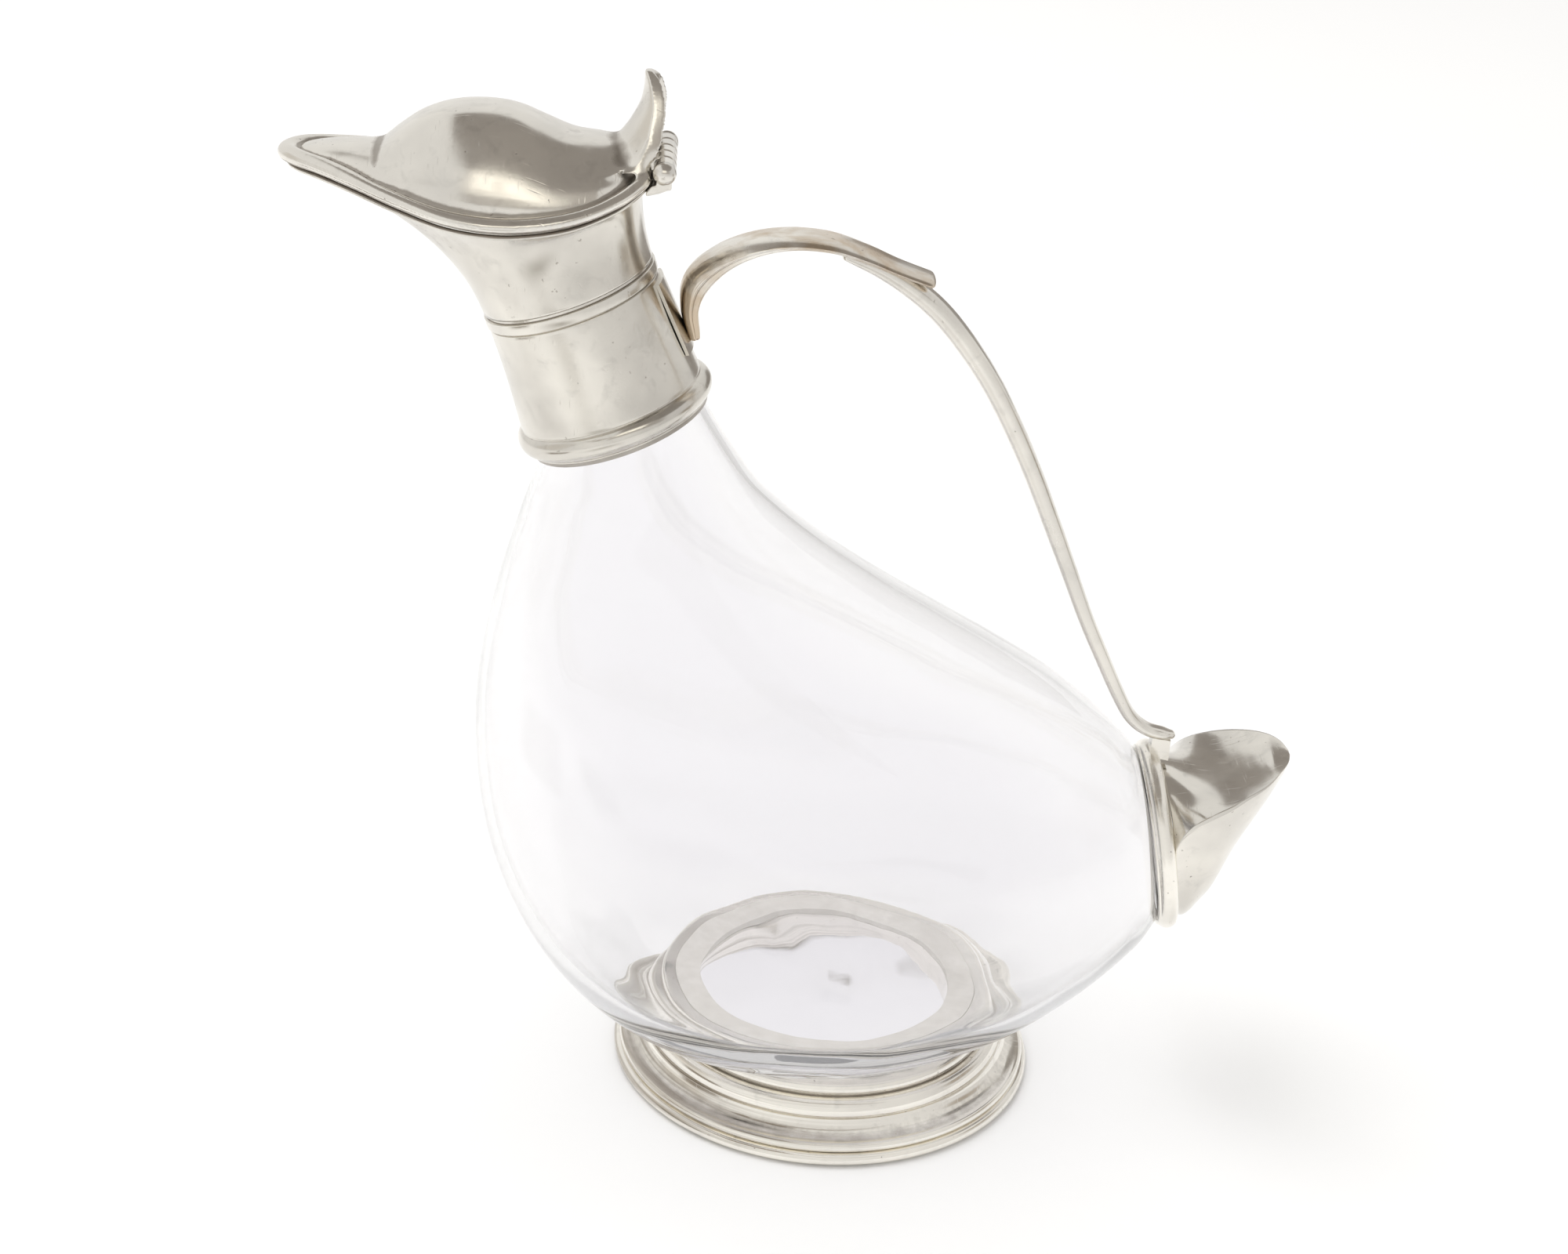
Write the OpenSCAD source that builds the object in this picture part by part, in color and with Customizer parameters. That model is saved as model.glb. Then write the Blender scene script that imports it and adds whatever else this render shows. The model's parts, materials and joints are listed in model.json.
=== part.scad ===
// Duck-shaped claret jug: a clear glass body in pewter mounts, with a hinged lid.
// The beak points along -X, the tail along +X and +Z is up. XZ is the mirror plane.
// The origin is the centre of the foot, on the surface that the jug stands on.

/* [Foot] */
// Outer diameter of the foot, over its rim wire
foot_d = 110; // [108:0.5:112]
// Diameter of the hole through the foot
foot_hole_d = 66; // [60:1:68]
// Height of the flat that the glass stands on
seat_z = 17.5; // [17:0.1:18]
// Thickness of the spun foot
foot_wall = 1.6; // [1.2:0.1:2]

/* [Glass] */
// Thickness of the glass wall
glass_wall = 2.4; // [1.8:0.1:3]
// Thickness of the glass base
glass_base = 4; // [3:0.5:6]
// Outer radius of the glass neck at the foot of the collar
neck_r = 20.3; // [20:0.1:20.5]
// How much the neck radius falls for each millimetre along the neck
neck_taper = 0.045; // [0.03:0.005:0.05]

/* [Collar] */
// Backward lean of the neck from upright, in degrees
neck_tilt = 21.5; // [21:0.5:22]
// Radius of the collar at its foot
collar_r0 = 22.6; // [22.4:0.1:23]
// Radius of the collar at its shoulder
collar_r1 = 20.9; // [20.7:0.1:21.2]
// Length of the collar sleeve
collar_len = 26; // [25:0.5:27]
// Thickness of the collar sleeve
collar_wall = 1.2; // [1:0.1:1.3]

/* [Spout] */
// Thickness of the spout at its base
spout_wall = 1.5; // [1.3:0.1:1.8]
// Width of the flat land on the rim at the back
land_back = 1.8; // [1.5:0.1:2.2]
// Width of the flat land on the rim at the beak
land_beak = 4; // [3:0.5:4.5]

/* [Lid] */
// Gap between the closed lid and the spout
lid_gap = 0.45; // [0.4:0.05:0.6]
// Distance that the lid stands out past the spout
lid_overhang = 1.75; // [1.5:0.05:2]
// Height of the rolled edge round the lid
lid_edge_h = 3.1; // [2.8:0.1:3.3]
// Thickness of the lid sheet
lid_sheet = 1.9; // [1.6:0.1:2.2]

/* [Hinge] */
// Radius of the hinge knuckles
knuckle_r = 2.6; // [2.4:0.1:2.7]
// Radius of the hinge pin
pin_r = 1; // [0.8:0.1:1.2]
// Running clearance between the pin and the lid's knuckles, on the radius
pin_clearance = 0.05; // [0.02:0.01:0.08]
// Length of the row of five knuckles
hinge_len = 25; // [24:0.5:26]
// Gap between neighbouring knuckles
knuckle_gap = 0.3; // [0.2:0.05:0.4]

/* [Handle] */
// Widest width of the handle's leaf
leaf_w = 15; // [13:0.5:16]
// Widest width of the handle's stem
stem_w = 8; // [7:0.5:8.5]

/* [Tail] */
// Upward tilt of the tail ring's axis, in degrees
tail_tilt = 10.5; // [10:0.5:11]
// Width of the tail ring
tail_ring_w = 5.2; // [5:0.1:5.5]

/* [Hidden] */
$fn = 96;

// Colours
PEWTER = [0.80, 0.78, 0.75];
BRIGHT = [0.88, 0.86, 0.83];
GLASS = [0.86, 0.90, 0.92, 0.35];
CEMENT = [0.72, 0.70, 0.66];

// Centre of the neck at the foot of the collar sleeve
NECK = [-62.2, 0, 182.5];
// Centre of the glass where the tail ring starts
TAIL = [79.9, 0, 68.9];
// Line that the hinge turns about
HINGE = [-51.5, 0, 241.6];

// Directions along the neck and towards its back
UP = [-sin(neck_tilt), 0, cos(neck_tilt)];
BACK = [cos(neck_tilt), 0, sin(neck_tilt)];
// Directions along the tail and towards its top
AFT = [cos(tail_tilt), 0, sin(tail_tilt)];
TOP = [-sin(tail_tilt), 0, cos(tail_tilt)];

// Sides of each section of the glass
GLASS_SIDES = 40;

// ---------- Curves and skins ----------

// Catmull-Rom value between b and c
function blend4(a, b, c, d, t) =
    0.5 * (2 * b + (c - a) * t + (2 * a - 5 * b + 4 * c - d) * t ^ 2 + (3 * b - a - 3 * c + d) * t ^ 3);

// Smooth open curve through p, with n steps in each span
function curve(p, n) =
    let (last = len(p) - 1, q = concat([2 * p[0] - p[1]], p, [2 * p[last] - p[last - 1]]))
    concat(
        [for (i = [0 : last - 1], k = [0 : n - 1]) blend4(q[i], q[i + 1], q[i + 2], q[i + 3], k / n)],
        [p[last]]
    );

// Smooth closed curve through p, with n steps in each span
function loop(p, n) =
    let (m = len(p))
    [for (i = [0 : m - 1], k = [0 : n - 1])
        blend4(p[(i + m - 1) % m], p[i], p[(i + 1) % m], p[(i + 2) % m], k / n)];

// Cubic Bezier point
function bezier(a, b, c, d, t) =
    (1 - t) ^ 3 * a + 3 * t * (1 - t) ^ 2 * b + 3 * t ^ 2 * (1 - t) * c + t ^ 3 * d;

// Arc in the plane from angle a0 to a1, in n steps
function arc(centre, r, a0, a1, n) =
    [for (i = [0 : n]) let (a = a0 + (a1 - a0) * i / n) centre + r * [cos(a), sin(a)]];

function mean(p) = [for (k = [0 : 2]) sum([for (q = p) q[k]]) / len(p)];
function sum(v, i = 0) = i == len(v) ? 0 : v[i] + sum(v, i + 1);
function unit(v) = v / norm(v);
function power(v, p) = sign(v) * abs(v) ^ p;

// Faces between row i and the next row of m points, wrapping at the last of n rows
function band(i, m, n) =
    [for (j = [0 : m - 1])
        let (a = i * m + j, b = i * m + (j + 1) % m, c = ((i + 1) % n) * m + j, d = ((i + 1) % n) * m + (j + 1) % m)
        each [[a, b, d], [a, d, c]]];

// Faces across a row that starts at index first: each point joins its twin on the other side.
// shift is 0 where the first point's twin is the last point, and 1 where it is its own twin.
function strip(m, first, shift) =
    [for (j = [0 : floor(m / 2) - 1])
        let (a = j, b = j + 1, c = (m - 2 + shift - j) % m, d = (m - 1 + shift - j) % m)
        for (t = [[a, b, d], [b, c, d]])
            if (t[0] != t[1] && t[1] != t[2] && t[2] != t[0]) [for (k = t) first + k]];
function flipped(faces) = [for (f = faces) [f[2], f[1], f[0]]];
function reversed(rows) = [for (i = [len(rows) - 1 : -1 : 0]) rows[i]];

// Solid through rows of points, closed at both ends by strips of faces
module strip_skin(rows, shift) {
    n = len(rows);
    m = len(rows[0]);
    sides = [for (i = [0 : n - 2]) each band(i, m, n)];
    polyhedron(
        [for (r = rows) each r],
        concat(sides, flipped(strip(m, 0, shift)), strip(m, (n - 1) * m, shift)),
        convexity = 6
    );
}

// Solid through rows of points, closed at both ends by a fan of faces
module skin(rows) {
    n = len(rows);
    m = len(rows[0]);
    first = n * m;
    points = concat([for (r = rows) each r], [mean(rows[0]), mean(rows[n - 1])]);
    sides = [for (i = [0 : n - 2]) each band(i, m, n)];
    start = [for (j = [0 : m - 1]) [(j + 1) % m, j, first]];
    end = [for (j = [0 : m - 1]) [(n - 1) * m + j, (n - 1) * m + (j + 1) % m, first + 1]];
    polyhedron(points, concat(sides, start, end), convexity = 6);
}

// Solid through rows of points that close on themselves, like a ring
module ring_skin(rows) {
    n = len(rows);
    m = len(rows[0]);
    polyhedron([for (r = rows) each r], [for (i = [0 : n - 1]) each band(i, m, n)], convexity = 6);
}

module at_neck() {
    translate(NECK) rotate([0, -neck_tilt, 0]) children();
}

module at_tail() {
    translate(TAIL) rotate([0, 90 - tail_tilt, 0]) children();
}

// ---------- Glass ----------

// A slice of the glass: back point and front point [x, z] in the mirror plane, then half width,
// then the power that squares the front half of the slice (1 leaves it an ellipse).
// The neck and the tail end are true circles about their own axes.
MOUTH_S = 24;
FOOT_OF_NECK_S = -7;
function neck_slice(s) =
    let (r = neck_r - neck_taper * s, c = NECK + s * UP, b = c + r * BACK, f = c - r * BACK)
    [b.x, b.z, f.x, f.z, r, 1];
function tail_slice(s, r) =
    let (c = TAIL + s * AFT, t = c + r * TOP, u = c - r * TOP)
    [t.x, t.z, u.x, u.z, r, 1];
BODY_SLICES = [
    [-32.5, 170.5, -83.6, 150, 27, 1],
    [-23, 158.2, -89.3, 128, 36.5, 0.95],
    [-9, 146.4, -93, 99, 46.5, 0.88],
    [8, 135.4, -88, 65, 55.5, 0.8],
    [25, 126, -71, 35, 60.5, 0.75],
    [40.5, 117.7, -43, 15.5, 61.5, 0.72],
    [53.5, 110, -5, 9, 58.5, 0.72],
    [62.5, 103.4, 32, 14.8, 50, 0.78],
    [69, 98.1, 58.2, 26, 39.5, 0.87],
    [73.3, 93.8, 76.8, 39, 29, 0.95]
];
// Closed end of the glass inside the tail: distance past the start of the ring, and radius
TAIL_END = [[0, 22], [2.4, 20.6], [4.6, 17.2], [6.6, 12.5], [7.8, 7], [8.2, 2.5]];
GLASS_SLICES = concat(
    [for (s = [MOUTH_S, 8, FOOT_OF_NECK_S]) neck_slice(s)],
    BODY_SLICES,
    [for (t = TAIL_END) tail_slice(t[0], t[1])]
);

// Ring of points round one slice, drawn in by wall and held above floor_z
function slice_ring(g, wall, floor_z) =
    let (
        back = [g[0], 0, g[1]],
        front = [g[2], 0, g[3]],
        centre = (back + front) / 2,
        half = (back - front) / 2,
        keep = 1 - wall / norm(half),
        width = g[4] - wall
    )
    [for (j = [0 : GLASS_SIDES - 1])
        let (
            a = 360 * j / GLASS_SIDES,
            square = cos(a) < 0 ? g[5] : 1,
            p = centre + power(cos(a), square) * keep * half + [0, power(sin(a), square) * width, 0]
        )
        [p.x, p.y, max(p.z, floor_z)]];

module glass_body() {
    slices = curve(GLASS_SLICES, 2);
    outer = [for (g = slices) slice_ring(g, 0, seat_z)];
    // the inside stops short of the closed tail end
    inner = [for (i = [0 : len(slices) - 6]) slice_ring(slices[i], glass_wall, seat_z + glass_base)];
    color(GLASS)
    skin(concat(reversed(inner), outer));
}

// ---------- Foot ----------

foot_r = foot_d / 2;
foot_hole_r = foot_hole_d / 2;
RIM_TOP = 3.4;
FOOT_BEAD_R = 1.3;
// The cove is an arc that falls from the seat to the bead
COVE_ARC_R = 5.1;
COVE_ARC_END = 18;
COVE_CENTRE = [foot_r - 2.6, RIM_TOP + 2 * FOOT_BEAD_R + COVE_ARC_R];
COVE_R = COVE_CENTRE.x - COVE_ARC_R * cos(COVE_ARC_END);
COVE_Z = COVE_CENTRE.y - COVE_ARC_R * sin(COVE_ARC_END);
SEAT_LIP_R = 40;
CEMENT_H = 1.1;

module foot_rim() {
    // half-round wire with a flat underside
    color(BRIGHT)
    rotate_extrude()
    polygon(concat(
        [[foot_r - 5, 0], [foot_r - 2.9, 0]],
        arc([foot_r - 1.6, RIM_TOP - 1.6], 1.6, -35, 90, 9),
        [[foot_r - 5, RIM_TOP]]
    ));
}

module foot_base() {
    // a second bead, then a hollow cove that rises to the seat
    inner_r = COVE_R - foot_wall - 1;
    color(PEWTER)
    rotate_extrude()
    polygon(concat(
        [[foot_r - 5 - foot_wall, RIM_TOP], [COVE_CENTRE.x + 0.2, RIM_TOP]],
        arc([COVE_CENTRE.x, RIM_TOP + FOOT_BEAD_R], FOOT_BEAD_R, -60, 80, 8),
        arc(COVE_CENTRE, COVE_ARC_R, -90, COVE_ARC_END - 180, 8),
        [[inner_r, COVE_Z], [inner_r, COVE_Z - foot_wall]]
    ));
}

module foot_seat() {
    // a convex ring, a small bead and a recess that holds the glass in cement
    color(PEWTER)
    rotate_extrude()
    polygon(concat(
        [[foot_hole_r, COVE_Z], [COVE_R - 0.3, COVE_Z]],
        arc([COVE_R - 3.6, COVE_Z + 1.2], 3.7, -12, 62, 8),
        arc([COVE_R - 5.2, COVE_Z + 5.9], 1.9, -55, 88, 8),
        [[SEAT_LIP_R, seat_z - 0.1], [SEAT_LIP_R, seat_z - CEMENT_H], [foot_hole_r, seat_z - CEMENT_H]]
    ));
}

module foot_cement() {
    color(CEMENT)
    translate([0, 0, seat_z - CEMENT_H])
    difference() {
        cylinder(h = CEMENT_H, r = SEAT_LIP_R);
        translate([0, 0, -1]) cylinder(h = CEMENT_H + 2, r = foot_hole_r);
    }
}

// ---------- Collar ----------

BEAD_S = 6.4;
LIP_S = 7.6;
BAND_S = 4;
collar_in0 = collar_r0 - collar_wall;
collar_in1 = collar_r1 - collar_wall + 0.1;
CEMENT_FIT = 0.06;

module collar_lip() {
    color(PEWTER)
    at_neck() rotate_extrude()
    polygon([
        [collar_in0, -LIP_S], [collar_in0 + 0.5, -LIP_S],
        [collar_in0 + 0.6, -BEAD_S], [collar_in0, -BEAD_S]
    ]);
}

module collar_bead() {
    color(BRIGHT)
    at_neck() rotate_extrude()
    polygon(concat(
        [[collar_in0, -BEAD_S], [collar_r0, -BEAD_S]],
        arc([collar_r0 - 1.2, -BEAD_S / 2], 3, -68, 68, 10),
        [[collar_r0 - 0.2, 0], [collar_in0, 0]]
    ));
}

module collar_sleeve() {
    waist = (collar_r0 + collar_r1) / 2 - 0.3;
    color(PEWTER)
    at_neck() rotate_extrude()
    polygon(concat(
        [[collar_in1, collar_len], [collar_in0, 0]],
        curve([[collar_r0, 0], [waist, collar_len / 2], [collar_r1, collar_len]], 5)
    ));
}

module collar_band() {
    // a plain band between two engraved lines
    groove = 0.45;
    color(BRIGHT)
    at_neck() rotate_extrude()
    polygon([
        [collar_in1, collar_len],
        [collar_r1 - groove, collar_len],
        [collar_r1 - groove, collar_len + groove],
        [collar_r1 + 0.3, collar_len + groove + 0.1],
        [collar_r1 + 0.35, collar_len + 1.8],
        [collar_r1 + 0.3, collar_len + BAND_S - groove - 0.5],
        [collar_r1 - groove, collar_len + BAND_S - groove - 0.4],
        [collar_r1 - groove, collar_len + BAND_S],
        [collar_in1, collar_len + BAND_S]
    ]);
}

module collar_cement() {
    glass_r0 = neck_r + neck_taper * FOOT_OF_NECK_S * -1 + CEMENT_FIT;
    glass_r1 = neck_r - neck_taper * MOUTH_S + CEMENT_FIT;
    metal_r1 = collar_in0 + (collar_in1 - collar_in0) * MOUTH_S / collar_len;
    color(CEMENT)
    at_neck() rotate_extrude()
    polygon([
        [glass_r0, FOOT_OF_NECK_S],
        [collar_in0, FOOT_OF_NECK_S],
        [collar_in0, 0],
        [metal_r1, MOUTH_S],
        [glass_r1, MOUTH_S]
    ]);
}

// ---------- Rim of the mouth, shared by the spout and the lid ----------

// One side of the rim, from the hinge round to the tip of the beak
HALF_RIM = [
    [-54.6, 0, 239.4], [-55, 8, 239], [-57.5, 14, 237.2], [-63, 19.3, 234.4], [-73, 24.3, 231.4],
    [-86, 26.8, 230], [-99, 25.5, 230.6], [-111, 21, 233], [-121, 15.5, 235.2], [-129, 10, 236.4],
    [-135, 5.2, 236.9], [-137.4, 0, 237]
];
HALF_COUNT = len(HALF_RIM);
RIM = loop(
    concat(HALF_RIM, [for (i = [HALF_COUNT - 2 : -1 : 1]) [HALF_RIM[i].x, -HALF_RIM[i].y, HALF_RIM[i].z]]),
    3
);
RIM_COUNT = len(RIM);
RIM_TANGENT = [for (j = [0 : RIM_COUNT - 1])
    let (t = RIM[(j + 1) % RIM_COUNT] - RIM[(j + RIM_COUNT - 1) % RIM_COUNT])
    unit([t.x, t.y, 0])];
// Outward in plan
RIM_OUT = [for (t = RIM_TANGENT) [t.y, -t.x, 0]];

// Line under the crown of the lid that the rim's ribs run in to
SPINE_FRONT = -117;
SPINE_REAR = -67;
function spine_x(x) = min(max(x, SPINE_FRONT), SPINE_REAR);
function inward(p) = unit([spine_x(p.x) - p.x, -p.y, 0]);

// ---------- Spout ----------

SPOUT_S = collar_len + BAND_S;
SPOUT_ROWS = 10;

// Rows of the spout's surface, from the collar up to the rim. land draws the rim in.
function spout_rows(base_r, land_scale, drop) =
    [for (i = [0 : SPOUT_ROWS])
        [for (j = [0 : RIM_COUNT - 1])
            let (
                a = 360 * j / RIM_COUNT,
                beak = (1 - cos(a)) / 2,
                start = NECK + SPOUT_S * UP + base_r * (cos(a) * BACK + [0, sin(a), 0]),
                land = land_scale * (land_back + (land_beak - land_back) * beak ^ 2),
                finish = RIM[j] + land * inward(RIM[j]) - [0, 0, drop],
                flare = unit(unit([RIM[j].x + 80, RIM[j].y, 0]) + [0, 0, 0.75 - 0.35 * beak])
            )
            bezier(
                start,
                start + (5 + 8 * beak) * UP,
                finish - (5 + 26 * beak ^ 2) * flare,
                finish,
                i / SPOUT_ROWS
            )]];

module spout() {
    outer = spout_rows(collar_r1 + 0.1, 0, 0);
    inner = spout_rows(collar_r1 + 0.1 - spout_wall, 1, 0);
    color(BRIGHT)
    ring_skin(concat(inner, reversed(outer)));
}

// A wire of radius r swept round the rim, out and down from its edge
module rim_wire(r, out, down, sides) {
    ring_skin([for (k = [0 : sides - 1])
        let (a = -360 * k / sides)
        [for (j = [0 : RIM_COUNT - 1]) RIM[j] + (out + r * cos(a)) * RIM_OUT[j] + [0, 0, r * sin(a) - down]]]);
}

module spout_rim() {
    color(BRIGHT)
    rim_wire(0.6, 0.1, 0.9, 8);
}

// ---------- Hinge ----------

knuckle_w = (hinge_len - 4 * knuckle_gap) / 5;
function knuckle_y(i) = -hinge_len / 2 + i * (knuckle_w + knuckle_gap);
FIXED = [0, 2, 4];
MOVING = [1, 3];

// Cylinder along Y on the hinge line, from y0 for length l
module along_hinge(r, y0, l) {
    translate([HINGE.x, y0 + l, HINGE.z]) rotate([90, 0, 0]) cylinder(h = l, r = r, $fn = 48);
}

// Plate with an XZ outline, from y0 for length l
module upright_plate(outline, y0, l) {
    translate([0, y0 + l, 0]) rotate([90, 0, 0]) linear_extrude(l) polygon(outline);
}

module hinge_bracket() {
    // a shelf behind the rim carries three knuckles on short posts
    shelf_top = HINGE.z - knuckle_r - 0.4;
    color(PEWTER)
    difference() {
        union() {
            upright_plate([
                [-55.6, shelf_top - 2.6], [-55.6, shelf_top - 1.4], [-54.3, shelf_top], [-50, shelf_top],
                [-49.8, shelf_top - 0.6], [-52.5, shelf_top - 1.8]
            ], -hinge_len / 2, hinge_len);
            for (i = FIXED) {
                along_hinge(knuckle_r, knuckle_y(i), knuckle_w);
                upright_plate([
                    [HINGE.x - 1.9, shelf_top - 1], [HINGE.x - 1.9, HINGE.z],
                    [HINGE.x + 1.7, HINGE.z], [HINGE.x + 1.7, shelf_top - 1]
                ], knuckle_y(i), knuckle_w);
            }
        }
        along_hinge(pin_r, -hinge_len, 2 * hinge_len);
    }
}

module hinge_pin() {
    color(BRIGHT)
    along_hinge(pin_r, -hinge_len / 2, hinge_len);
}

module hinge_caps() {
    // a domed button closes each end of the pin
    color(BRIGHT)
    for (side = [-1, 1])
        translate([HINGE.x, side * hinge_len / 2, HINGE.z])
        rotate([-90 * side, 0, 0])
        rotate_extrude($fn = 48)
        polygon(concat([[0, 0], [knuckle_r + 0.1, 0]], arc([0, 0.4], knuckle_r + 0.1, 10, 90, 8)));
}

module lid_knuckles() {
    // two tubes and the leaf that joins them to the lid
    color(PEWTER)
    difference() {
        union() {
            for (i = MOVING) {
                along_hinge(knuckle_r, knuckle_y(i), knuckle_w);
                upright_plate([
                    [HINGE.x - 4.4, HINGE.z - 1.2], [HINGE.x - 4.4, HINGE.z + 1.4],
                    [HINGE.x, HINGE.z + knuckle_r - 0.1], [HINGE.x, HINGE.z - 1.2]
                ], knuckle_y(i), knuckle_w);
            }
        }
        along_hinge(pin_r + pin_clearance, -hinge_len, 2 * hinge_len);
    }
}

// ---------- Lid ----------

// Crown line of the lid in the mirror plane, from beak to hinge: x, z
CROWN = [
    [-117, 241.8], [-112.5, 245.8], [-107, 249.6], [-100, 252], [-92, 252.6],
    [-85.5, 251.7], [-79.5, 249.4], [-73, 247], [-67, 246.4]
];
CROWN_LINE = curve(CROWN, 4);
function crown_z(x) = lookup(x, [for (p = CROWN_LINE) [p.x, p.y]]);

// From 0 at the front of the crown to 1 at the tip of the beak
function tip(x) = max(0, min(1, (SPINE_FRONT - x) / 20)) ^ 2;

// Outline of the lid, kept clear of the hinge
LID_BACK = HINGE.x - knuckle_r - 0.6;
LID_OUTLINE = [for (j = [0 : RIM_COUNT - 1])
    let (p = RIM[j] + (lid_overhang + 1.1 * tip(RIM[j].x)) * RIM_OUT[j] + [0, 0, lid_gap])
    [min(p.x, LID_BACK), p.y, p.z]];

// Section of the rolled edge: distance in from the outline, height above the underside
EDGE_W = 5.6;
EDGE_SECTION = [
    [EDGE_W, 0], [1.2, 0], [0.3, 0.2 * lid_edge_h], [0, 0.45 * lid_edge_h], [0.5, 0.76 * lid_edge_h],
    [1.6, 0.95 * lid_edge_h], [2.8, lid_edge_h], [4.2, 0.86 * lid_edge_h], [EDGE_W, 0.5 * lid_edge_h]
];

// The edge is thicker at the tip of the beak
function lid_point(j, d, h) =
    let (p = LID_OUTLINE[j])
    p + d * inward(p) + [0, 0, h * (1 + 0.15 * tip(p.x))];
function rib_length(j) = norm([spine_x(LID_OUTLINE[j].x) - LID_OUTLINE[j].x, LID_OUTLINE[j].y]);

LID_ROWS = 7;
RIDGE_HALF = 1.2;
// Rows of the lid's sheet from the rolled edge in to the ridge, lowered by drop
function lid_rows(drop) =
    [for (i = [0 : LID_ROWS])
        [for (j = [0 : RIM_COUNT - 1])
            let (
                u = i / LID_ROWS,
                p = lid_point(j, EDGE_W + (rib_length(j) - RIDGE_HALF - EDGE_W) * u, 0),
                low = lid_point(j, 0, lid_edge_h * 0.5).z,
                high = crown_z(spine_x(p.x)),
                rise = (1 - (1 - u) ^ 2.2) ^ 0.75
            )
            [p.x, p.y, low + (high - low) * rise - drop]]];

module lid_shell() {
    color(BRIGHT)
    strip_skin(concat(reversed(lid_rows(0)), lid_rows(lid_sheet)), 1);
}

module lid_edge() {
    color(BRIGHT)
    ring_skin([for (s = reversed(EDGE_SECTION)) [for (j = [0 : RIM_COUNT - 1]) lid_point(j, s.x, s.y)]]);
}

// Rows of the thumbpiece: front x and z in the middle, half width, set-back of the edges,
// thickness, and how far the edges reach below the middle
THUMB = [
    [-64.5, 245.4, 12.3, 6, 3.4, 3.2], [-61.4, 248.8, 10.6, 5.2, 3.4, 2], [-59.4, 252, 8.6, 4, 3.2, 1],
    [-58, 255, 7, 3, 3.1, 0.4], [-57.4, 258, 5.2, 1.9, 2.9, 0.1], [-57.3, 260.5, 3.3, 1, 2.6, 0],
    [-57.4, 262, 1.2, 0.3, 1.6, 0]
];

module thumbpiece() {
    half = 8;
    function side(t, u, back) =
        [t[0] + t[3] * u ^ 2 + back * t[4], t[2] * u * (1 - 0.07 * back), t[1] - t[5] * u ^ 2];
    rows = [for (t = curve(THUMB, 2))
        concat(
            [for (k = [-half : half]) side(t, k / half, 0)],
            [for (k = [half : -1 : -half]) side(t, k / half, 1)]
        )];
    color(BRIGHT)
    strip_skin(rows, 0);
}

// ---------- Handle ----------

// Stations of the handle in the mirror plane: x, z, width and thickness
LEAF = [
    [-43, 198, 5.5, 3], [-44.4, 205.4, 9, 4.5], [-43, 212.4, leaf_w - 3, 6.4], [-37.4, 218.3, leaf_w - 1, 5.4],
    [-29.8, 222.2, leaf_w, 4.2], [-21, 224, leaf_w, 3.2], [-11.5, 223.6, leaf_w - 0.5, 2.8],
    [-3, 221.2, leaf_w - 1.5, 2.4], [5, 218.1, leaf_w - 2.5, 2.1], [12.8, 215.5, leaf_w - 3, 2]
];
STEM = [
    [-9, 220.6, 5, 2.2], [0, 217.6, 7, 4.2], [8, 213, stem_w, 4.8], [14.8, 207.6, stem_w, 5.1],
    [21.5, 200.2, stem_w, 5.1], [28.5, 190.7, stem_w - 0.2, 5], [34.8, 180, stem_w - 0.6, 4.9],
    [41, 168, stem_w - 1, 4.7], [47, 155, stem_w - 1.4, 4.5], [52.5, 142.8, stem_w - 1.8, 4.2],
    [58.4, 129.6, stem_w - 2.2, 3.9], [63.9, 118.7, stem_w - 2.5, 3.7], [68.8, 109.3, stem_w - 2.8, 3.5],
    [72.8, 103, stem_w - 2.9, 3.2], [77.3, 99.6, stem_w - 3, 2.9], [82, 98.4, stem_w - 3.1, 2.6],
    [84, 98.2, 0.4 * stem_w, 1.8]
];

// Bar with a softened square section swept along stations
module bar(stations, steps, sides) {
    path = curve(stations, steps);
    last = len(path) - 1;
    rows = [for (i = [0 : last])
        let (
            s = path[i],
            before = path[max(i - 1, 0)],
            after = path[min(i + 1, last)],
            d = unit([after[0] - before[0], after[1] - before[1]]),
            across = [-d.y, 0, d.x]
        )
        [for (k = [0 : sides - 1])
            let (a = 360 * (k + 0.5) / sides)
            [s[0], 0, s[1]] + power(cos(a), 0.6) * s[3] / 2 * across + [0, power(sin(a), 0.6) * s[2] / 2, 0]]];
    skin(rows);
}

module handle_saddle() {
    // a thin plate bent round the back of the collar, under the root of the handle
    low = 6;
    high = collar_len - 1.5;
    plate = 0.85;
    function sleeve_r(s) = collar_r0 + (collar_r1 - collar_r0) * s / collar_len;
    color(PEWTER)
    at_neck() rotate([0, 0, -17]) rotate_extrude(angle = 34)
    polygon([
        [sleeve_r(low), low], [sleeve_r(low) + plate, low], [sleeve_r(high) + plate, high], [sleeve_r(high), high]
    ]);
}

module handle_leaf() {
    color(BRIGHT)
    bar(LEAF, 3, 12);
}

module handle_stem() {
    color(BRIGHT)
    bar(STEM, 3, 12);
}

module handle_tail_pad() {
    // a small block that the end of the handle is soldered to, on top of the tail ring
    color(PEWTER)
    upright_plate([[78, 92.5], [82.8, 91.6], [82.8, 97.2], [78, 98]], -2, 4);
}

// ---------- Tail ----------

TAIL_R = 24.5;
tail_in0 = 22.4;
tail_in1 = 20.6;

module tail_ring() {
    color(PEWTER)
    at_tail() rotate_extrude()
    polygon(concat(
        [[tail_in0, 0], [TAIL_R - 1, 0]],
        arc([TAIL_R - 2.4, tail_ring_w / 2], 2.5, -55, 60, 8),
        [[21.9, tail_ring_w], [tail_in1, tail_ring_w]]
    ));
}

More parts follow.
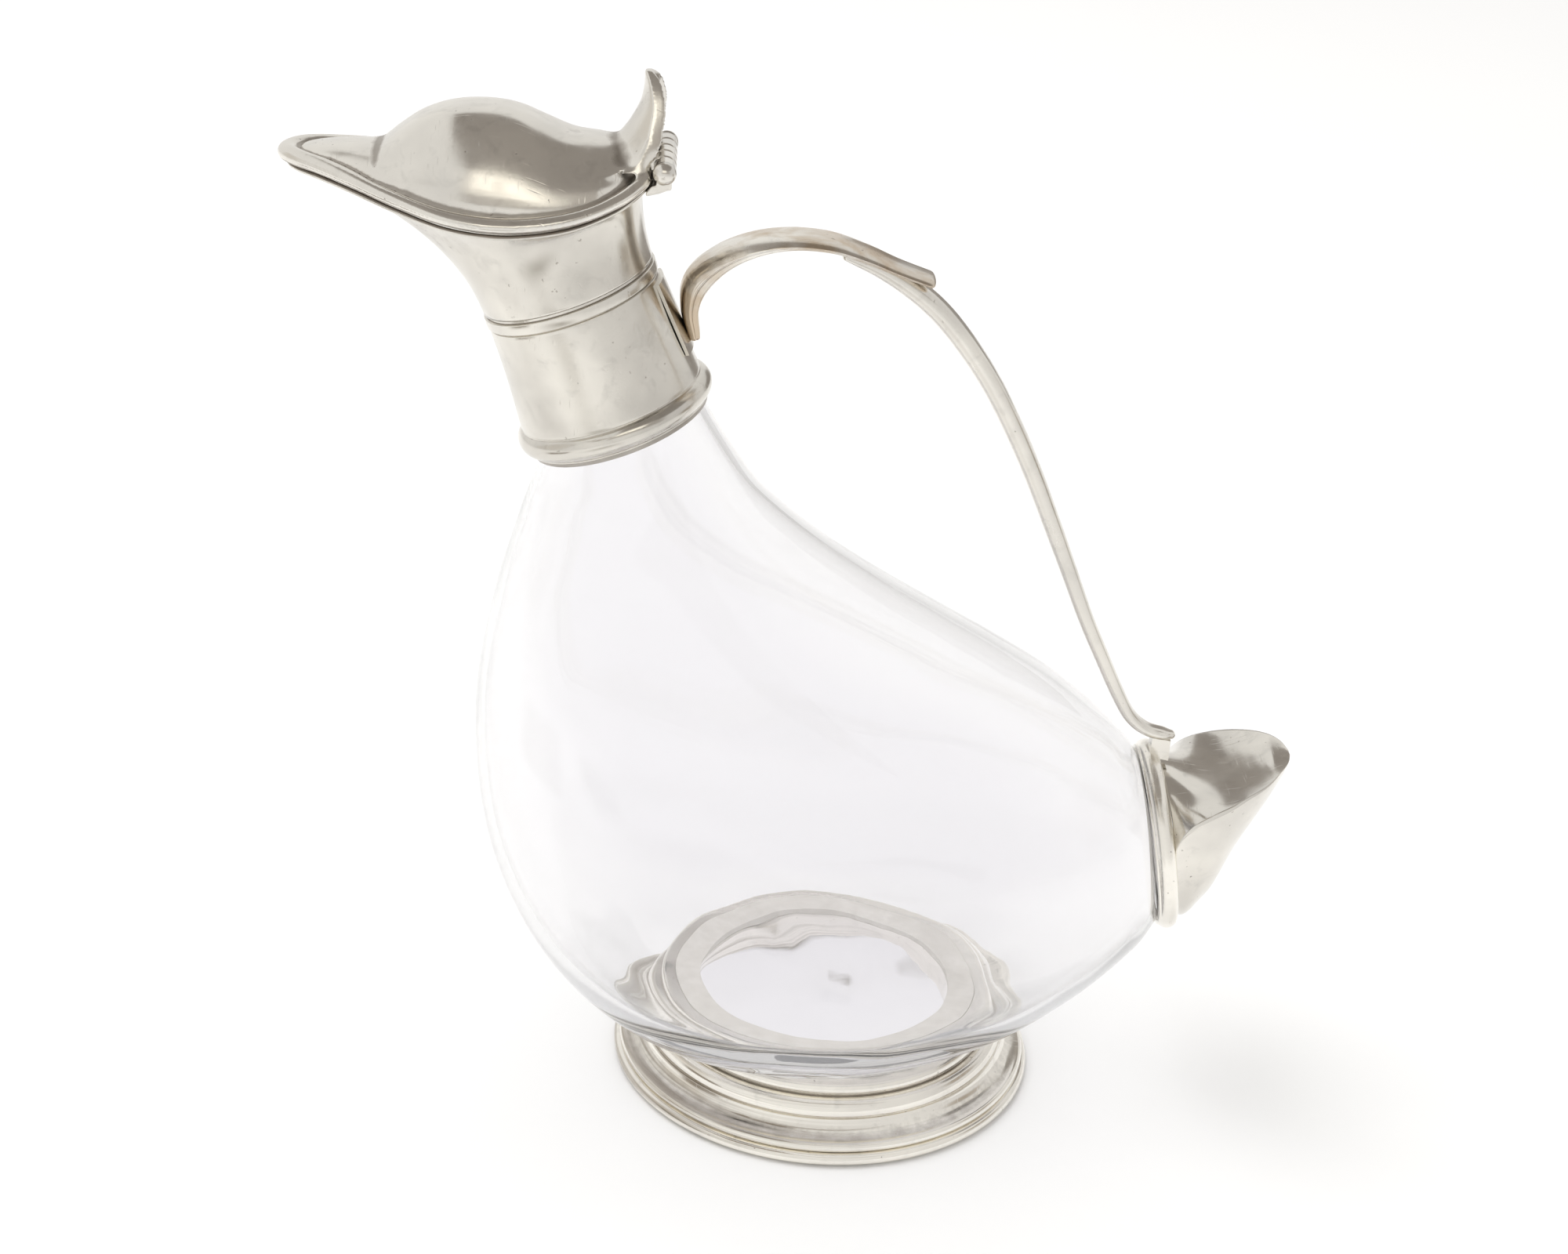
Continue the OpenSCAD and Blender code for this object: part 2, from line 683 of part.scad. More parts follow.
module tail_cement() {
    depth = 3.5;
    outer_end = tail_in0 + (tail_in1 - tail_in0) * depth / tail_ring_w;
    inner = TAIL_END[1];
    color(CEMENT)
    at_tail() rotate_extrude()
    polygon([
        [TAIL_END[0][1] + CEMENT_FIT, 0], [tail_in0, 0], [outer_end, depth],
        [inner[1] + 0.15, depth], [inner[1] + 0.15, inner[0]]
    ]);
}

// Sections of the tail: x, z of the crease, half width, z of the top and of the keel,
// and how much the section leans with the ring
TAIL_SECTIONS = [
    [TAIL.x + tail_ring_w / cos(tail_tilt), 76, 21.4, 90.2, 48.4, 1],
    [87.5, 80.8, 21.4, 90, 47.2, 0.8], [90.5, 84.6, 21.5, 89.3, 48.2, 0.5], [93.5, 87, 21.3, 88.9, 51.4, 0.3],
    [97, 89, 20.2, 88.8, 56, 0.1], [101, 90.9, 18.2, 89.3, 66.8, 0], [105, 92.3, 15.9, 90.8, 75.6, 0],
    [107.8, 93.4, 13.3, 92.2, 81, 0], [109.8, 94.2, 10.7, 93.4, 85, 0], [111.6, 94.6, 8, 94.1, 88.6, 0],
    [112.9, 94.7, 5, 94.4, 91.6, 0], [113.8, 94.6, 1.2, 94.5, 93.9, 0]
];
TAIL_SHEET = 1.4;

// Outline of one section, drawn in by inset: over the top, then back under the keel
function tail_outline(t, inset) =
    let (
        half = 8,
        width = t[2] - 1.4 * inset,
        over = [for (k = [-half : half])
            let (u = k / half)
            [width * u, t[1] + (t[3] - inset - t[1]) * (1 - u ^ 2)]],
        under = [for (k = [half - 1 : -1 : 1 - half])
            let (u = k / half)
            [width * u, t[1] + (t[4] + inset - t[1]) * (1 - abs(u) ^ 2.4) ^ 0.9]]
    )
    [for (p = concat(over, under)) [t[0] - t[5] * (p.y - TAIL.z) * tan(tail_tilt), p.x, p.y]];

module tail_shell() {
    sections = curve(TAIL_SECTIONS, 2);
    // the hollow stops where the sections get thin
    hollow_end = 7;
    color(BRIGHT)
    skin(concat(
        reversed([for (i = [0 : hollow_end]) tail_outline(sections[i], TAIL_SHEET)]),
        [for (t = sections) tail_outline(t, 0)]
    ));
}

// ---------- Assembly ----------

glass_body();
foot_rim();
foot_base();
foot_seat();
foot_cement();
collar_lip();
collar_bead();
collar_sleeve();
collar_band();
collar_cement();
spout();
spout_rim();
hinge_bracket();
hinge_pin();
hinge_caps();
handle_saddle();
handle_leaf();
handle_stem();
handle_tail_pad();
tail_ring();
tail_cement();
tail_shell();
lid_shell();
lid_edge();
lid_knuckles();
thumbpiece();
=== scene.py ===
import json
import math

import bmesh
import bpy
import numpy as np
from mathutils import Matrix, Vector


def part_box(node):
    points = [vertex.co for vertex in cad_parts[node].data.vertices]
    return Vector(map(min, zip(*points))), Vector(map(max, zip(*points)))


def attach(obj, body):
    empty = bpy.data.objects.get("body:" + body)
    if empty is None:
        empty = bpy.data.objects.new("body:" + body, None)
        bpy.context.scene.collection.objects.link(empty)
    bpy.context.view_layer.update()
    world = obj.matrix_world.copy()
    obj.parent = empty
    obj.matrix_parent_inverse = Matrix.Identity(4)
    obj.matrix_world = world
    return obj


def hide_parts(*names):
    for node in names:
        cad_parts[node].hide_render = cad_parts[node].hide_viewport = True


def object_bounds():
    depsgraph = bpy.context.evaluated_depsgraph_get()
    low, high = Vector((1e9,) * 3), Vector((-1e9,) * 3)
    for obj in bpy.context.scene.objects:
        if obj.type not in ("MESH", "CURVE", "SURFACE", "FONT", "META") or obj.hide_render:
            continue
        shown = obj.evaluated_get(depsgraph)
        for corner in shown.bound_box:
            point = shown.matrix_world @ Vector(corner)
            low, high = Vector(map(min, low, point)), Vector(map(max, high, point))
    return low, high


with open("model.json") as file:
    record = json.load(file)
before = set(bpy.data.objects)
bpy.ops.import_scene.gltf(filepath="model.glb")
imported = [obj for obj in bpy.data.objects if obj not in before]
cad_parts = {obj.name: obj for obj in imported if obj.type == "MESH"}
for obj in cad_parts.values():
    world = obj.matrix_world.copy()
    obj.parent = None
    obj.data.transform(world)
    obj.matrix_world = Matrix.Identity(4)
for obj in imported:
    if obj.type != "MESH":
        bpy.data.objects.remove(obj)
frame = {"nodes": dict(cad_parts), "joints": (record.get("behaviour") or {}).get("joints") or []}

CAD_LOW, CAD_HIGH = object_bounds()
NODES = frame["nodes"]
HINGE_JOINT = next(j for j in frame["joints"] if j["name"] == "lid_hinge")
HINGE = np.array(HINGE_JOINT["pos_m"]) * 1000

# Lengths are in millimetres until a mesh is made, as in the CAD model
MM = 0.001

# ---------- Directions of the neck and of the tail ----------

NECK_TILT = math.radians(21.5)
TAIL_TILT = math.radians(10.5)
UP = np.array([-math.sin(NECK_TILT), 0, math.cos(NECK_TILT)])
BACK = np.array([math.cos(NECK_TILT), 0, math.sin(NECK_TILT)])
AFT = np.array([math.cos(TAIL_TILT), 0, math.sin(TAIL_TILT)])
TOP = np.array([-math.sin(TAIL_TILT), 0, math.cos(TAIL_TILT)])
SIDE = np.array([0.0, 1.0, 0.0])
LENGTHWISE = np.array([1.0, 0.0, 0.0])
VERTICAL = np.array([0.0, 0.0, 1.0])

COLLAR_LEN = 26
TAIL_RING_W = 5.2
# Middle of the lower end of the collar's sleeve, and of the front of the tail ring
NECK = np.array([-62.2, 0, 182.5])
TAIL = np.array([79.9, 0, 68.9])

# ---------- Curves ----------


def blend4(a, b, c, d, t):
    """Catmull-Rom value between b and c."""
    return 0.5 * (2 * b + (c - a) * t + (2 * a - 5 * b + 4 * c - d) * t**2 + (3 * b - a - 3 * c + d) * t**3)


def curve(points, steps):
    """Smooth open curve through the points, with so many steps in each span."""
    p = np.array(points, float)
    q = np.vstack([2 * p[0] - p[1], p, 2 * p[-1] - p[-2]])
    out = [blend4(*q[i:i + 4], k / steps) for i in range(len(p) - 1) for k in range(steps)]
    return np.array(out + [p[-1]])


def loop(points, steps):
    """Smooth closed curve through the points, with so many steps in each span."""
    p = np.array(points, float)
    m = len(p)
    return np.array([
        blend4(p[i - 1], p[i], p[(i + 1) % m], p[(i + 2) % m], k / steps)
        for i in range(m)
        for k in range(steps)
    ])


def arc(centre, radius, start, end, steps=8):
    """Points of an arc in the plane, from one angle to another, in degrees."""
    angles = np.radians(np.linspace(start, end, steps + 1))
    return [[centre[0] + radius * math.cos(a), centre[1] + radius * math.sin(a)] for a in angles]


SHARP = math.radians(22)


def softened(outline, radius, steps=3):
    """A closed outline in the plane with each corner sharper than SHARP rounded."""
    p = np.array(outline, float)
    out = []
    for i in range(len(p)):
        before, here, after = p[i - 1], p[i], p[(i + 1) % len(p)]
        into, onward = here - before, after - here
        turn = abs(math.atan2(into[0] * onward[1] - into[1] * onward[0], into @ onward))
        if turn < SHARP:
            out.append(here)
            continue
        reach = min(radius, 0.45 * np.linalg.norm(into), 0.45 * np.linalg.norm(onward))
        a = here - reach * into / np.linalg.norm(into)
        b = here + reach * onward / np.linalg.norm(onward)
        for k in range(steps + 1):
            t = k / steps
            out.append((1 - t) ** 2 * a + 2 * t * (1 - t) * here + t**2 * b)
    return np.array(out)


# ---------- Meshes ----------


def grid_faces(rows, columns, closed):
    """Quads of a grid of points, by number. Each row closes on itself, and so do the rows if closed."""
    return [
        (
            i * columns + j,
            i * columns + (j + 1) % columns,
            (i + 1) % rows * columns + (j + 1) % columns,
            (i + 1) % rows * columns + j,
        )
        for i in range(rows if closed else rows - 1)
        for j in range(columns)
    ]


def put_in_scene(name, data):
    """A new object in the scene."""
    obj = bpy.data.objects.new(name, data)
    bpy.context.scene.collection.objects.link(obj)
    return obj


def shade_smooth(mesh):
    mesh.polygons.foreach_set("use_smooth", [True] * len(mesh.polygons))


def mesh_object(name, points, faces):
    """An object from points in millimetres, with double points merged and faces turned outward."""
    mesh = bpy.data.meshes.new(name)
    mesh.from_pydata([tuple(p) for p in np.asarray(points) * MM], [], faces)
    mesh.validate()
    tidy = bmesh.new()
    tidy.from_mesh(mesh)
    bmesh.ops.remove_doubles(tidy, verts=tidy.verts, dist=1e-7)
    bmesh.ops.recalc_face_normals(tidy, faces=tidy.faces)
    tidy.to_mesh(mesh)
    tidy.free()
    shade_smooth(mesh)
    return put_in_scene(name, mesh)


def skin(name, rows):
    """A solid through rows of points, closed at both ends by a fan."""
    rows = np.array(rows, float)
    n, m = rows.shape[:2]
    points = np.vstack([rows.reshape(-1, 3), rows[0].mean(0), rows[-1].mean(0)])
    faces = grid_faces(n, m, False)
    faces += [((j + 1) % m, j, n * m) for j in range(m)]
    faces += [((n - 1) * m + j, (n - 1) * m + (j + 1) % m, n * m + 1) for j in range(m)]
    return mesh_object(name, points, faces)


def ring_skin(name, rows):
    """A solid through rows of points that close on themselves, like a ring."""
    rows = np.array(rows, float)
    return mesh_object(name, rows.reshape(-1, 3), grid_faces(*rows.shape[:2], True))


def twin_strip(m, first, shift):
    """Faces across a row: each point joins its twin on the other side."""
    faces = []
    for j in range(m // 2):
        quad = [j, j + 1, (m - 2 + shift - j) % m, (m - 1 + shift - j) % m]
        corners = [first + k for i, k in enumerate(quad) if k not in quad[:i]]
        if len(corners) > 2:
            faces.append(tuple(corners))
    return faces


def strip_skin(name, rows, shift):
    """A solid through rows of points, closed at both ends by a strip of faces."""
    rows = np.array(rows, float)
    n, m = rows.shape[:2]
    faces = grid_faces(n, m, False) + twin_strip(m, 0, shift) + twin_strip(m, (n - 1) * m, shift)
    return mesh_object(name, rows.reshape(-1, 3), faces)


def turned(name, outline, centre, along, across, sides=192):
    """A closed outline of radius and distance along the axis, turned round that axis."""
    third = np.cross(along, across)
    angles = np.radians(np.arange(sides) * 360 / sides)
    rows = [[
        centre + s * along + r * (math.cos(a) * across + math.sin(a) * third) for a in angles
    ] for r, s in outline]
    return ring_skin(name, rows)


def plate(name, outline, y0, y1, inset=0.25):
    """An outline in the XZ plane with softened edges, from y0 to y1."""
    outline = softened(outline, 0.5)
    centre = outline.mean(0)
    steps = [(y0, 1 - inset / 3), (y0 + inset, 1), (y1 - inset, 1), (y1, 1 - inset / 3)]
    rows = []
    for y, scale in steps:
        flat = centre + (outline - centre) * scale
        rows.append([[x, y, z] for x, z in flat])
    return skin(name, rows)


def join(name, pieces):
    """One object from several."""
    points, faces = [], []
    for piece in pieces:
        first = len(points)
        points += [v.co.copy() for v in piece.data.vertices]
        faces += [tuple(first + k for k in f.vertices) for f in piece.data.polygons]
        bpy.data.objects.remove(piece)
    mesh = bpy.data.meshes.new(name)
    mesh.from_pydata(points, [], faces)
    shade_smooth(mesh)
    return put_in_scene(name, mesh)


def positions(obj):
    """The object's points, in metres."""
    co = np.zeros(len(obj.data.vertices) * 3)
    obj.data.vertices.foreach_get("co", co)
    return co.reshape(-1, 3)


def set_positions(obj, co):
    obj.data.vertices.foreach_set("co", co.astype(np.float32).ravel())
    obj.data.update()


def seat(obj, *nodes):
    """Puts the piece exactly in the box of the CAD nodes that it stands for."""
    boxes = [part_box(n) for n in nodes]
    low = np.min([b[0] for b in boxes], axis=0)
    high = np.max([b[1] for b in boxes], axis=0)
    co = positions(obj)
    here_low, here_high = co.min(0), co.max(0)
    set_positions(obj, low + (co - here_low) * (high - low) / (here_high - here_low))


def remeshed(obj, voxel, smoothings):
    """The piece as one even skin, with its joins run together. voxel is its step in millimetres."""
    remesh = obj.modifiers.new("remesh", "REMESH")
    remesh.mode = "VOXEL"
    remesh.voxel_size = voxel * MM
    smooth = obj.modifiers.new("smooth", "SMOOTH")
    smooth.factor = 0.5
    smooth.iterations = smoothings
    made = bpy.data.meshes.new_from_object(obj.evaluated_get(bpy.context.evaluated_depsgraph_get()))
    obj.modifiers.clear()
    obj.data = made
    shade_smooth(made)
    return obj


def neighbours_mean(co, edges, count):
    """Mean place of the points that share an edge with each point."""
    out = np.empty_like(co)
    for k in range(3):
        total = np.bincount(edges[:, 0], co[edges[:, 1], k], len(co))
        total += np.bincount(edges[:, 1], co[edges[:, 0], k], len(co))
        out[:, k] = total / np.maximum(count, 1)
    return out


def mesh_edges(mesh):
    """Edges as pairs of point numbers, and how many edges meet at each point."""
    edges = np.zeros(len(mesh.edges) * 2, int)
    mesh.edges.foreach_get("vertices", edges)
    edges = edges.reshape(-1, 2)
    return edges, np.bincount(edges.ravel(), minlength=len(mesh.vertices))


# How sharply the easing fades out, and how far a point moves to its neighbours' mean in one round
EASE_EDGE = 1.6
EASE_STEP = 0.6


def eased(obj, centre, reach, rounds):
    """Runs the surfaces together round a place. centre and reach are in millimetres, reach along x, y, z."""
    co = positions(obj)
    edges, count = mesh_edges(obj.data)
    away = np.linalg.norm((co / MM - centre) / reach, axis=1)
    weight = np.clip(EASE_EDGE * (1 - away), 0, 1)[:, None] * EASE_STEP
    for _ in range(rounds):
        co += weight * (neighbours_mean(co, edges, count) - co)
    set_positions(obj, co)


def mark_creases(obj, reach, rounds):
    """Stores how deep each point lies in a crease, 1 there and -1 on a ridge, as the attribute crease.
    reach is the depth in millimetres that counts as a full crease."""
    mesh = obj.data
    co = positions(obj)
    edges, count = mesh_edges(mesh)
    soft = co.copy()
    for _ in range(rounds):
        soft = neighbours_mean(soft, edges, count)
    normals = np.zeros(len(co) * 3)
    mesh.vertex_normals.foreach_get("vector", normals)
    depth = ((soft - co) * normals.reshape(-1, 3)).sum(1) / (reach * MM)
    values = np.clip(depth, -1, 1).astype(np.float32)
    attribute = mesh.attributes.new("crease", "FLOAT", "POINT")
    attribute.data.foreach_set("value", values)


def add_seam_shade(obj, share):
    """Lets the points with a share above zero count as creases too, so that they take the painted shadow of a
    seam.
    """
    values = np.zeros(len(share), np.float32)
    attribute = obj.data.attributes["crease"]
    attribute.data.foreach_get("value", values)
    attribute.data.foreach_set("value", np.maximum(values, np.clip(share, 0, 1)).astype(np.float32))


# ---------- Materials ----------


class Shader:
    """A material and the nodes that make it."""

    def __init__(self, name):
        self.material = bpy.data.materials.new(name)
        self.material.use_nodes = True
        self.tree = self.material.node_tree
        self.tree.nodes.clear()
        self.output = self.node("OutputMaterial")
        self.surface = self.node("BsdfPrincipled")
        self.place = self.node("TexCoord").outputs["Object"]
        self.link(self.surface.outputs[0], self.output.inputs["Surface"])

    def node(self, kind, **settings):
        """A new node. Settings are its properties, or its sockets with _ for each space."""
        made = self.tree.nodes.new("ShaderNode" + kind)
        for key, value in settings.items():
            if hasattr(made, key):
                setattr(made, key, value)
            else:
                made.inputs[key.replace("_", " ")].default_value = value
        return made

    def link(self, source, target):
        self.tree.links.new(source, target)

    def stretched(self, scale, turn=(0, 0, 0)):
        """Object coordinates, scaled and turned."""
        mapping = self.node("Mapping")
        mapping.inputs["Scale"].default_value = scale
        mapping.inputs["Rotation"].default_value = turn
        self.link(self.place, mapping.inputs["Vector"])
        return mapping.outputs[0]

    def noise(self, scale, detail=2.0, rough=0.5, twist=0.0, place=None):
        made = self.node("TexNoise", Scale=scale, Detail=detail, Roughness=rough, Distortion=twist)
        self.link(place or self.place, made.inputs["Vector"])
        return made.outputs["Fac"]

    def ramp(self, source, *stops):
        """A value from a value, by straight lines between (place, value) stops."""
        made = self.node("ValToRGB")
        band = made.color_ramp
        while len(band.elements) < len(stops):
            band.elements.new(0.5)
        for element, (place, value) in zip(band.elements, stops):
            element.position = place
            element.color = (value, value, value, 1)
        self.link(source, made.inputs["Fac"])
        return made.outputs["Color"]

    def feed(self, socket, value):
        """Gives a socket its value: another socket, a colour or a number."""
        if isinstance(value, bpy.types.NodeSocket):
            self.link(value, socket)
        elif isinstance(value, tuple):
            socket.default_value = (*value, 1)
        else:
            socket.default_value = value

    def mixed(self, share, first, second):
        """A colour between two."""
        made = self.node("Mix", data_type="RGBA")
        # Its colour sockets are 6 and 7, and 2 among the outputs
        for number, value in ((6, first), (7, second), (0, share)):
            self.feed(made.inputs[number], value)
        return made.outputs[2]

    def maths(self, operation, first, second):
        made = self.node("Math", operation=operation)
        for socket, value in zip(made.inputs, (first, second)):
            self.feed(socket, value)
        return made.outputs[0]

    def shaders_mixed(self, share, first, second):
        """A shader between two."""
        made = self.node("MixShader")
        for socket, value in zip(made.inputs, (share, first, second)):
            self.link(value, socket)
        return made.outputs[0]

    def bump(self, height, distance, strength=1.0, under=None):
        made = self.node("Bump", Strength=strength, Distance=distance)
        self.link(height, made.inputs["Height"])
        if under is not None:
            self.link(under, made.inputs["Normal"])
        return made.outputs[0]


CREAM = (0.88, 0.85, 0.785)
GREY = (0.70, 0.675, 0.63)
# Colour of the creases' patina and painted shade, and of the pits
PATINA_AND_SHADE = (0.17, 0.135, 0.105)
GILT = (0.50, 0.37, 0.23)
STREAK = (0.30, 0.255, 0.205)
SCRATCHES = (((2600, 90, 260), (0.3, 0.5, 0.9)), ((80, 2400, 220), (0.7, 0.2, 0.4)))


def metal(
    name, light=CREAM, dark=GREY, rough=0.17, crease_patina_and_shade=0.8, dents=0.00022, pits=0.5, streaks=None, gilt=0
):
    """Old polished pewter: uneven in tone, softly dented, pitted and scratched, and darkened in its creases
    by patina and painted shade.
    The crease darkening, pits and gilt are shares, dents is a height in metres and streaks a scale along x, y
    and z."""
    s = Shader(name)
    crease = s.node("Attribute", attribute_name="crease").outputs["Fac"]
    cloud = s.ramp(s.noise(38, 3, 0.55), (0.34, 0), (0.68, 1))
    stain = s.ramp(s.noise(210, 4, 0.6, 0.6), (0.55, 0), (0.78, 1))
    tone = s.mixed(cloud, light, dark)
    tone = s.mixed(s.maths("MULTIPLY", stain, 0.35), tone, tuple(0.72 * c for c in dark))
    if gilt:
        patch = s.ramp(s.noise(75, 3, 0.6, 0.4), (0.34, 0), (0.56, gilt))
        tone = s.mixed(patch, tone, GILT)
    if streaks:
        # Strong on the left of the jug, faint on its right
        drawn = s.ramp(s.noise(1, 3, 0.6, place=s.stretched(streaks)), (0.45, 0), (0.62, 1))
        side = s.node("SeparateXYZ")
        s.link(s.place, side.inputs[0])
        left = s.node("MapRange")
        s.link(side.outputs[0], left.inputs["Value"])
        for socket, value in (("From Min", -0.04), ("From Max", 0.015), ("To Min", 0.75), ("To Max", 0.03)):
            left.inputs[socket].default_value = value
        tone = s.mixed(s.maths("MULTIPLY", drawn, left.outputs[0]), tone, STREAK)
    ragged = s.maths("MULTIPLY", s.noise(420, 3, 0.6), 0.5)
    # Patina and painted shade in the creases, and painted shadow along the seams under the lid
    inside = s.ramp(s.maths("ADD", crease, s.maths("SUBTRACT", ragged, 0.25)), (0.12, 0), (0.62, 1))
    inside = s.maths("MULTIPLY", inside, crease_patina_and_shade)
    tone = s.mixed(inside, tone, PATINA_AND_SHADE)
    pit = s.ramp(s.noise(900, 2, 0.5), (0.0, 1), (0.235, 1), (0.275, 0))
    tone = s.mixed(s.maths("MULTIPLY", pit, pits), tone, PATINA_AND_SHADE)
    s.link(tone, s.surface.inputs["Base Color"])
    s.surface.inputs["Metallic"].default_value = 1.0
    worn = s.ramp(s.noise(120, 4, 0.6), (0.3, rough), (0.75, rough + 0.13))
    roughness = s.maths("ADD", worn, s.maths("MULTIPLY", inside, 0.3))
    s.link(roughness, s.surface.inputs["Roughness"])
    scratched = [
        s.ramp(s.noise(1, 1, place=s.stretched(scale, turn)), (0.70, 0), (0.76, 1))
        for scale, turn in SCRATCHES
    ]
    marks = s.maths("ADD", s.maths("MAXIMUM", *scratched), s.maths("MULTIPLY", pit, 2.0))
    waves = s.bump(s.noise(55, 1, 0.4), dents)
    grain = s.bump(s.noise(1500, 2, 0.6), 0.0000045, 1.0, waves)
    s.link(s.bump(marks, 0.00002, 0.6, grain), s.surface.inputs["Normal"])
    s.surface.inputs["Normal"].links[0].from_node.invert = True
    return s.material


# The glass lets a ray out that has been mirrored more often than this
MIRRORINGS = 2.5
LET_THROUGH = (0.985, 0.985, 0.99)
LET_OUT = (0.68, 0.68, 0.69)


def clear_glass(name):
    """Clear blown glass with gentle waves, faintly lilac-grey, less so where it turns away. Shadow and
    diffuse rays go straight through. Rays caught inside pass out dimmed, or they end in a dark band."""
    s = Shader(name)
    cloud = s.ramp(s.noise(14, 1), (0.3, 0), (0.7, 1))
    tint = s.mixed(cloud, (0.930, 0.926, 0.942), (0.910, 0.906, 0.924))
    facing = s.node("LayerWeight", Blend=0.5).outputs["Facing"]
    tint = s.mixed(s.ramp(facing, (0.12, 0), (0.27, 1)), tint, (0.982, 0.981, 0.985))
    s.link(tint, s.surface.inputs["Base Color"])
    s.surface.inputs["Roughness"].default_value = 0.0
    s.surface.inputs["IOR"].default_value = 1.5
    s.surface.inputs["Transmission Weight"].default_value = 1.0
    s.link(s.bump(s.noise(20, 1, 0.3), 0.0009, 0.35), s.surface.inputs["Normal"])
    path = s.node("LightPath")
    through = s.node("BsdfTransparent", Color=(*LET_THROUGH, 1)).outputs[0]
    dim = s.node("BsdfTransparent", Color=(*LET_OUT, 1)).outputs[0]
    caught = s.maths("GREATER_THAN", path.outputs["Glossy Depth"], MIRRORINGS)
    shader = s.shaders_mixed(caught, s.surface.outputs[0], dim)
    for ray in ("Is Diffuse Ray", "Is Shadow Ray"):
        shader = s.shaders_mixed(path.outputs[ray], shader, through)
    s.link(shader, s.output.inputs["Surface"])
    return s.material


def cement(name):
    """Pale fine plaster."""
    s = Shader(name)
    tone = s.mixed(s.noise(260, 4, 0.6), (0.86, 0.83, 0.77), (0.58, 0.55, 0.49))
    s.link(tone, s.surface.inputs["Base Color"])
    s.surface.inputs["Roughness"].default_value = 0.85
    s.link(s.bump(s.noise(900, 3), 0.00005), s.surface.inputs["Normal"])
    return s.material


GLASS = clear_glass("clear_glass")
SHEET_METAL = metal("pewter_sheet", (0.82, 0.79, 0.725), (0.60, 0.575, 0.53), rough=0.14)
LID_METAL = metal("pewter_lid", rough=0.14, crease_patina_and_shade=0.6, dents=0.00012)
CAST_METAL = metal("pewter_cast", rough=0.16, dents=0.0001)
LEAF_METAL = metal("pewter_leaf", rough=0.16, dents=0.0001, gilt=0.7)
FOOT_METAL = metal(
    "pewter_foot", (0.95, 0.92, 0.85), (0.84, 0.81, 0.755),
    rough=0.07, crease_patina_and_shade=0.6, dents=0.00015, streaks=(10, 10, 800),
)
TAIL_METAL = metal("pewter_tail", rough=0.1, dents=0.00005, pits=0.8)
RING_METAL = metal(
    "pewter_ring", (0.96, 0.93, 0.86), (0.84, 0.81, 0.75), rough=0.18, pits=0.85, dents=0.00012
)
DARK_METAL = metal("pewter_dark", (0.5, 0.47, 0.43), (0.36, 0.33, 0.30), rough=0.3)
CEMENT = cement("cement")


def piece(obj, body, material, slot, *nodes):
    """Makes the object a piece that rides on a body and stands for CAD nodes."""
    obj.data.materials.clear()
    obj.data.materials.append(material)
    seat(obj, *nodes)
    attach(obj, body)
    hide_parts(*nodes)
    return obj


# ---------- Glass ----------

SEAT_Z = 17.5
GLASS_WALL = 2.4
GLASS_BASE = 4
NECK_R = 20.3
NECK_TAPER = 0.045
MOUTH_S = 24
FOOT_OF_NECK_S = -7
# Back and front points [x, z] in the mirror plane, half width, and the power that squares the front half
BODY_SLICES = [
    [-32.5, 170.5, -83.6, 150, 27, 1],
    [-23, 158.2, -89.3, 128, 36.5, 0.95],
    [-9, 146.4, -93, 99, 46.5, 0.88],
    [8, 135.4, -88, 65, 55.5, 0.8],
    [25, 126, -71, 35, 60.5, 0.75],
    [40.5, 117.7, -43, 15.5, 61.5, 0.72],
    [53.5, 110, -5, 9, 58.5, 0.72],
    [62.5, 103.4, 32, 14.8, 50, 0.78],
    [69, 98.1, 58.2, 26, 39.5, 0.87],
    [73.3, 93.8, 76.8, 39, 29, 0.95],
]
# Closed end of the glass inside the tail: distance past the start of the ring, and radius
TAIL_END = [[0, 22], [2.4, 20.6], [4.6, 17.2], [6.6, 12.5], [7.8, 7], [8.2, 2.5]]


def neck_slice(s):
    """Slice of the neck a distance up its axis, in the terms of BODY_SLICES."""
    r = NECK_R - NECK_TAPER * s
    centre = NECK + s * UP
    b, f = centre + r * BACK, centre - r * BACK
    return [b[0], b[2], f[0], f[2], r, 1]


def tail_slice(s, r):
    """Slice of the glass inside the tail, in the terms of BODY_SLICES."""
    centre = TAIL + s * AFT
    t, u = centre + r * TOP, centre - r * TOP
    return [t[0], t[2], u[0], u[2], r, 1]


def soft_floor(z, level, ease):
    """Heights kept above a level, rounded into it."""
    over = z - level
    return level + (over + np.sqrt(over**2 + ease**2)) / 2


def slice_ring(g, wall, level, ease, sides):
    """Points round one slice of the glass, drawn in by wall and held above a level."""
    back_x, back_z, front_x, front_z, half_width, squareness = g
    back, front = np.array([back_x, 0, back_z]), np.array([front_x, 0, front_z])
    centre, half = (back + front) / 2, (back - front) / 2
    keep = 1 - wall / np.linalg.norm(half)
    a = np.radians(np.arange(sides) * 360 / sides)
    power = np.where(np.cos(a) < 0, squareness, 1.0)
    reach = (np.abs(np.cos(a)) ** (2 / power) + np.abs(np.sin(a)) ** (2 / power)) ** (-power / 2)
    in_plane = (reach * np.cos(a) * keep)[:, None] * half
    sideways = (reach * np.sin(a) * (half_width - wall))[:, None] * SIDE
    p = centre + in_plane + sideways
    p[:, 2] = soft_floor(p[:, 2], level, ease)
    return p


RIPPLED_H = 16


def rippled(p):
    """The inside of the thick base, as uneven as blown glass is."""
    x, y, z = p.T
    near = np.clip(1 - (z - SEAT_Z - GLASS_BASE) / RIPPLED_H, 0, 1) ** 2
    wave = (
        np.sin(0.16 * x + 0.09 * y + 0.5)
        + 0.8 * np.sin(0.21 * y - 0.08 * x + 1.7)
        + 0.5 * np.sin(0.33 * x + 0.27 * y)
    )
    p[:, 2] += near * (0.75 * wave + 0.9)
    return p


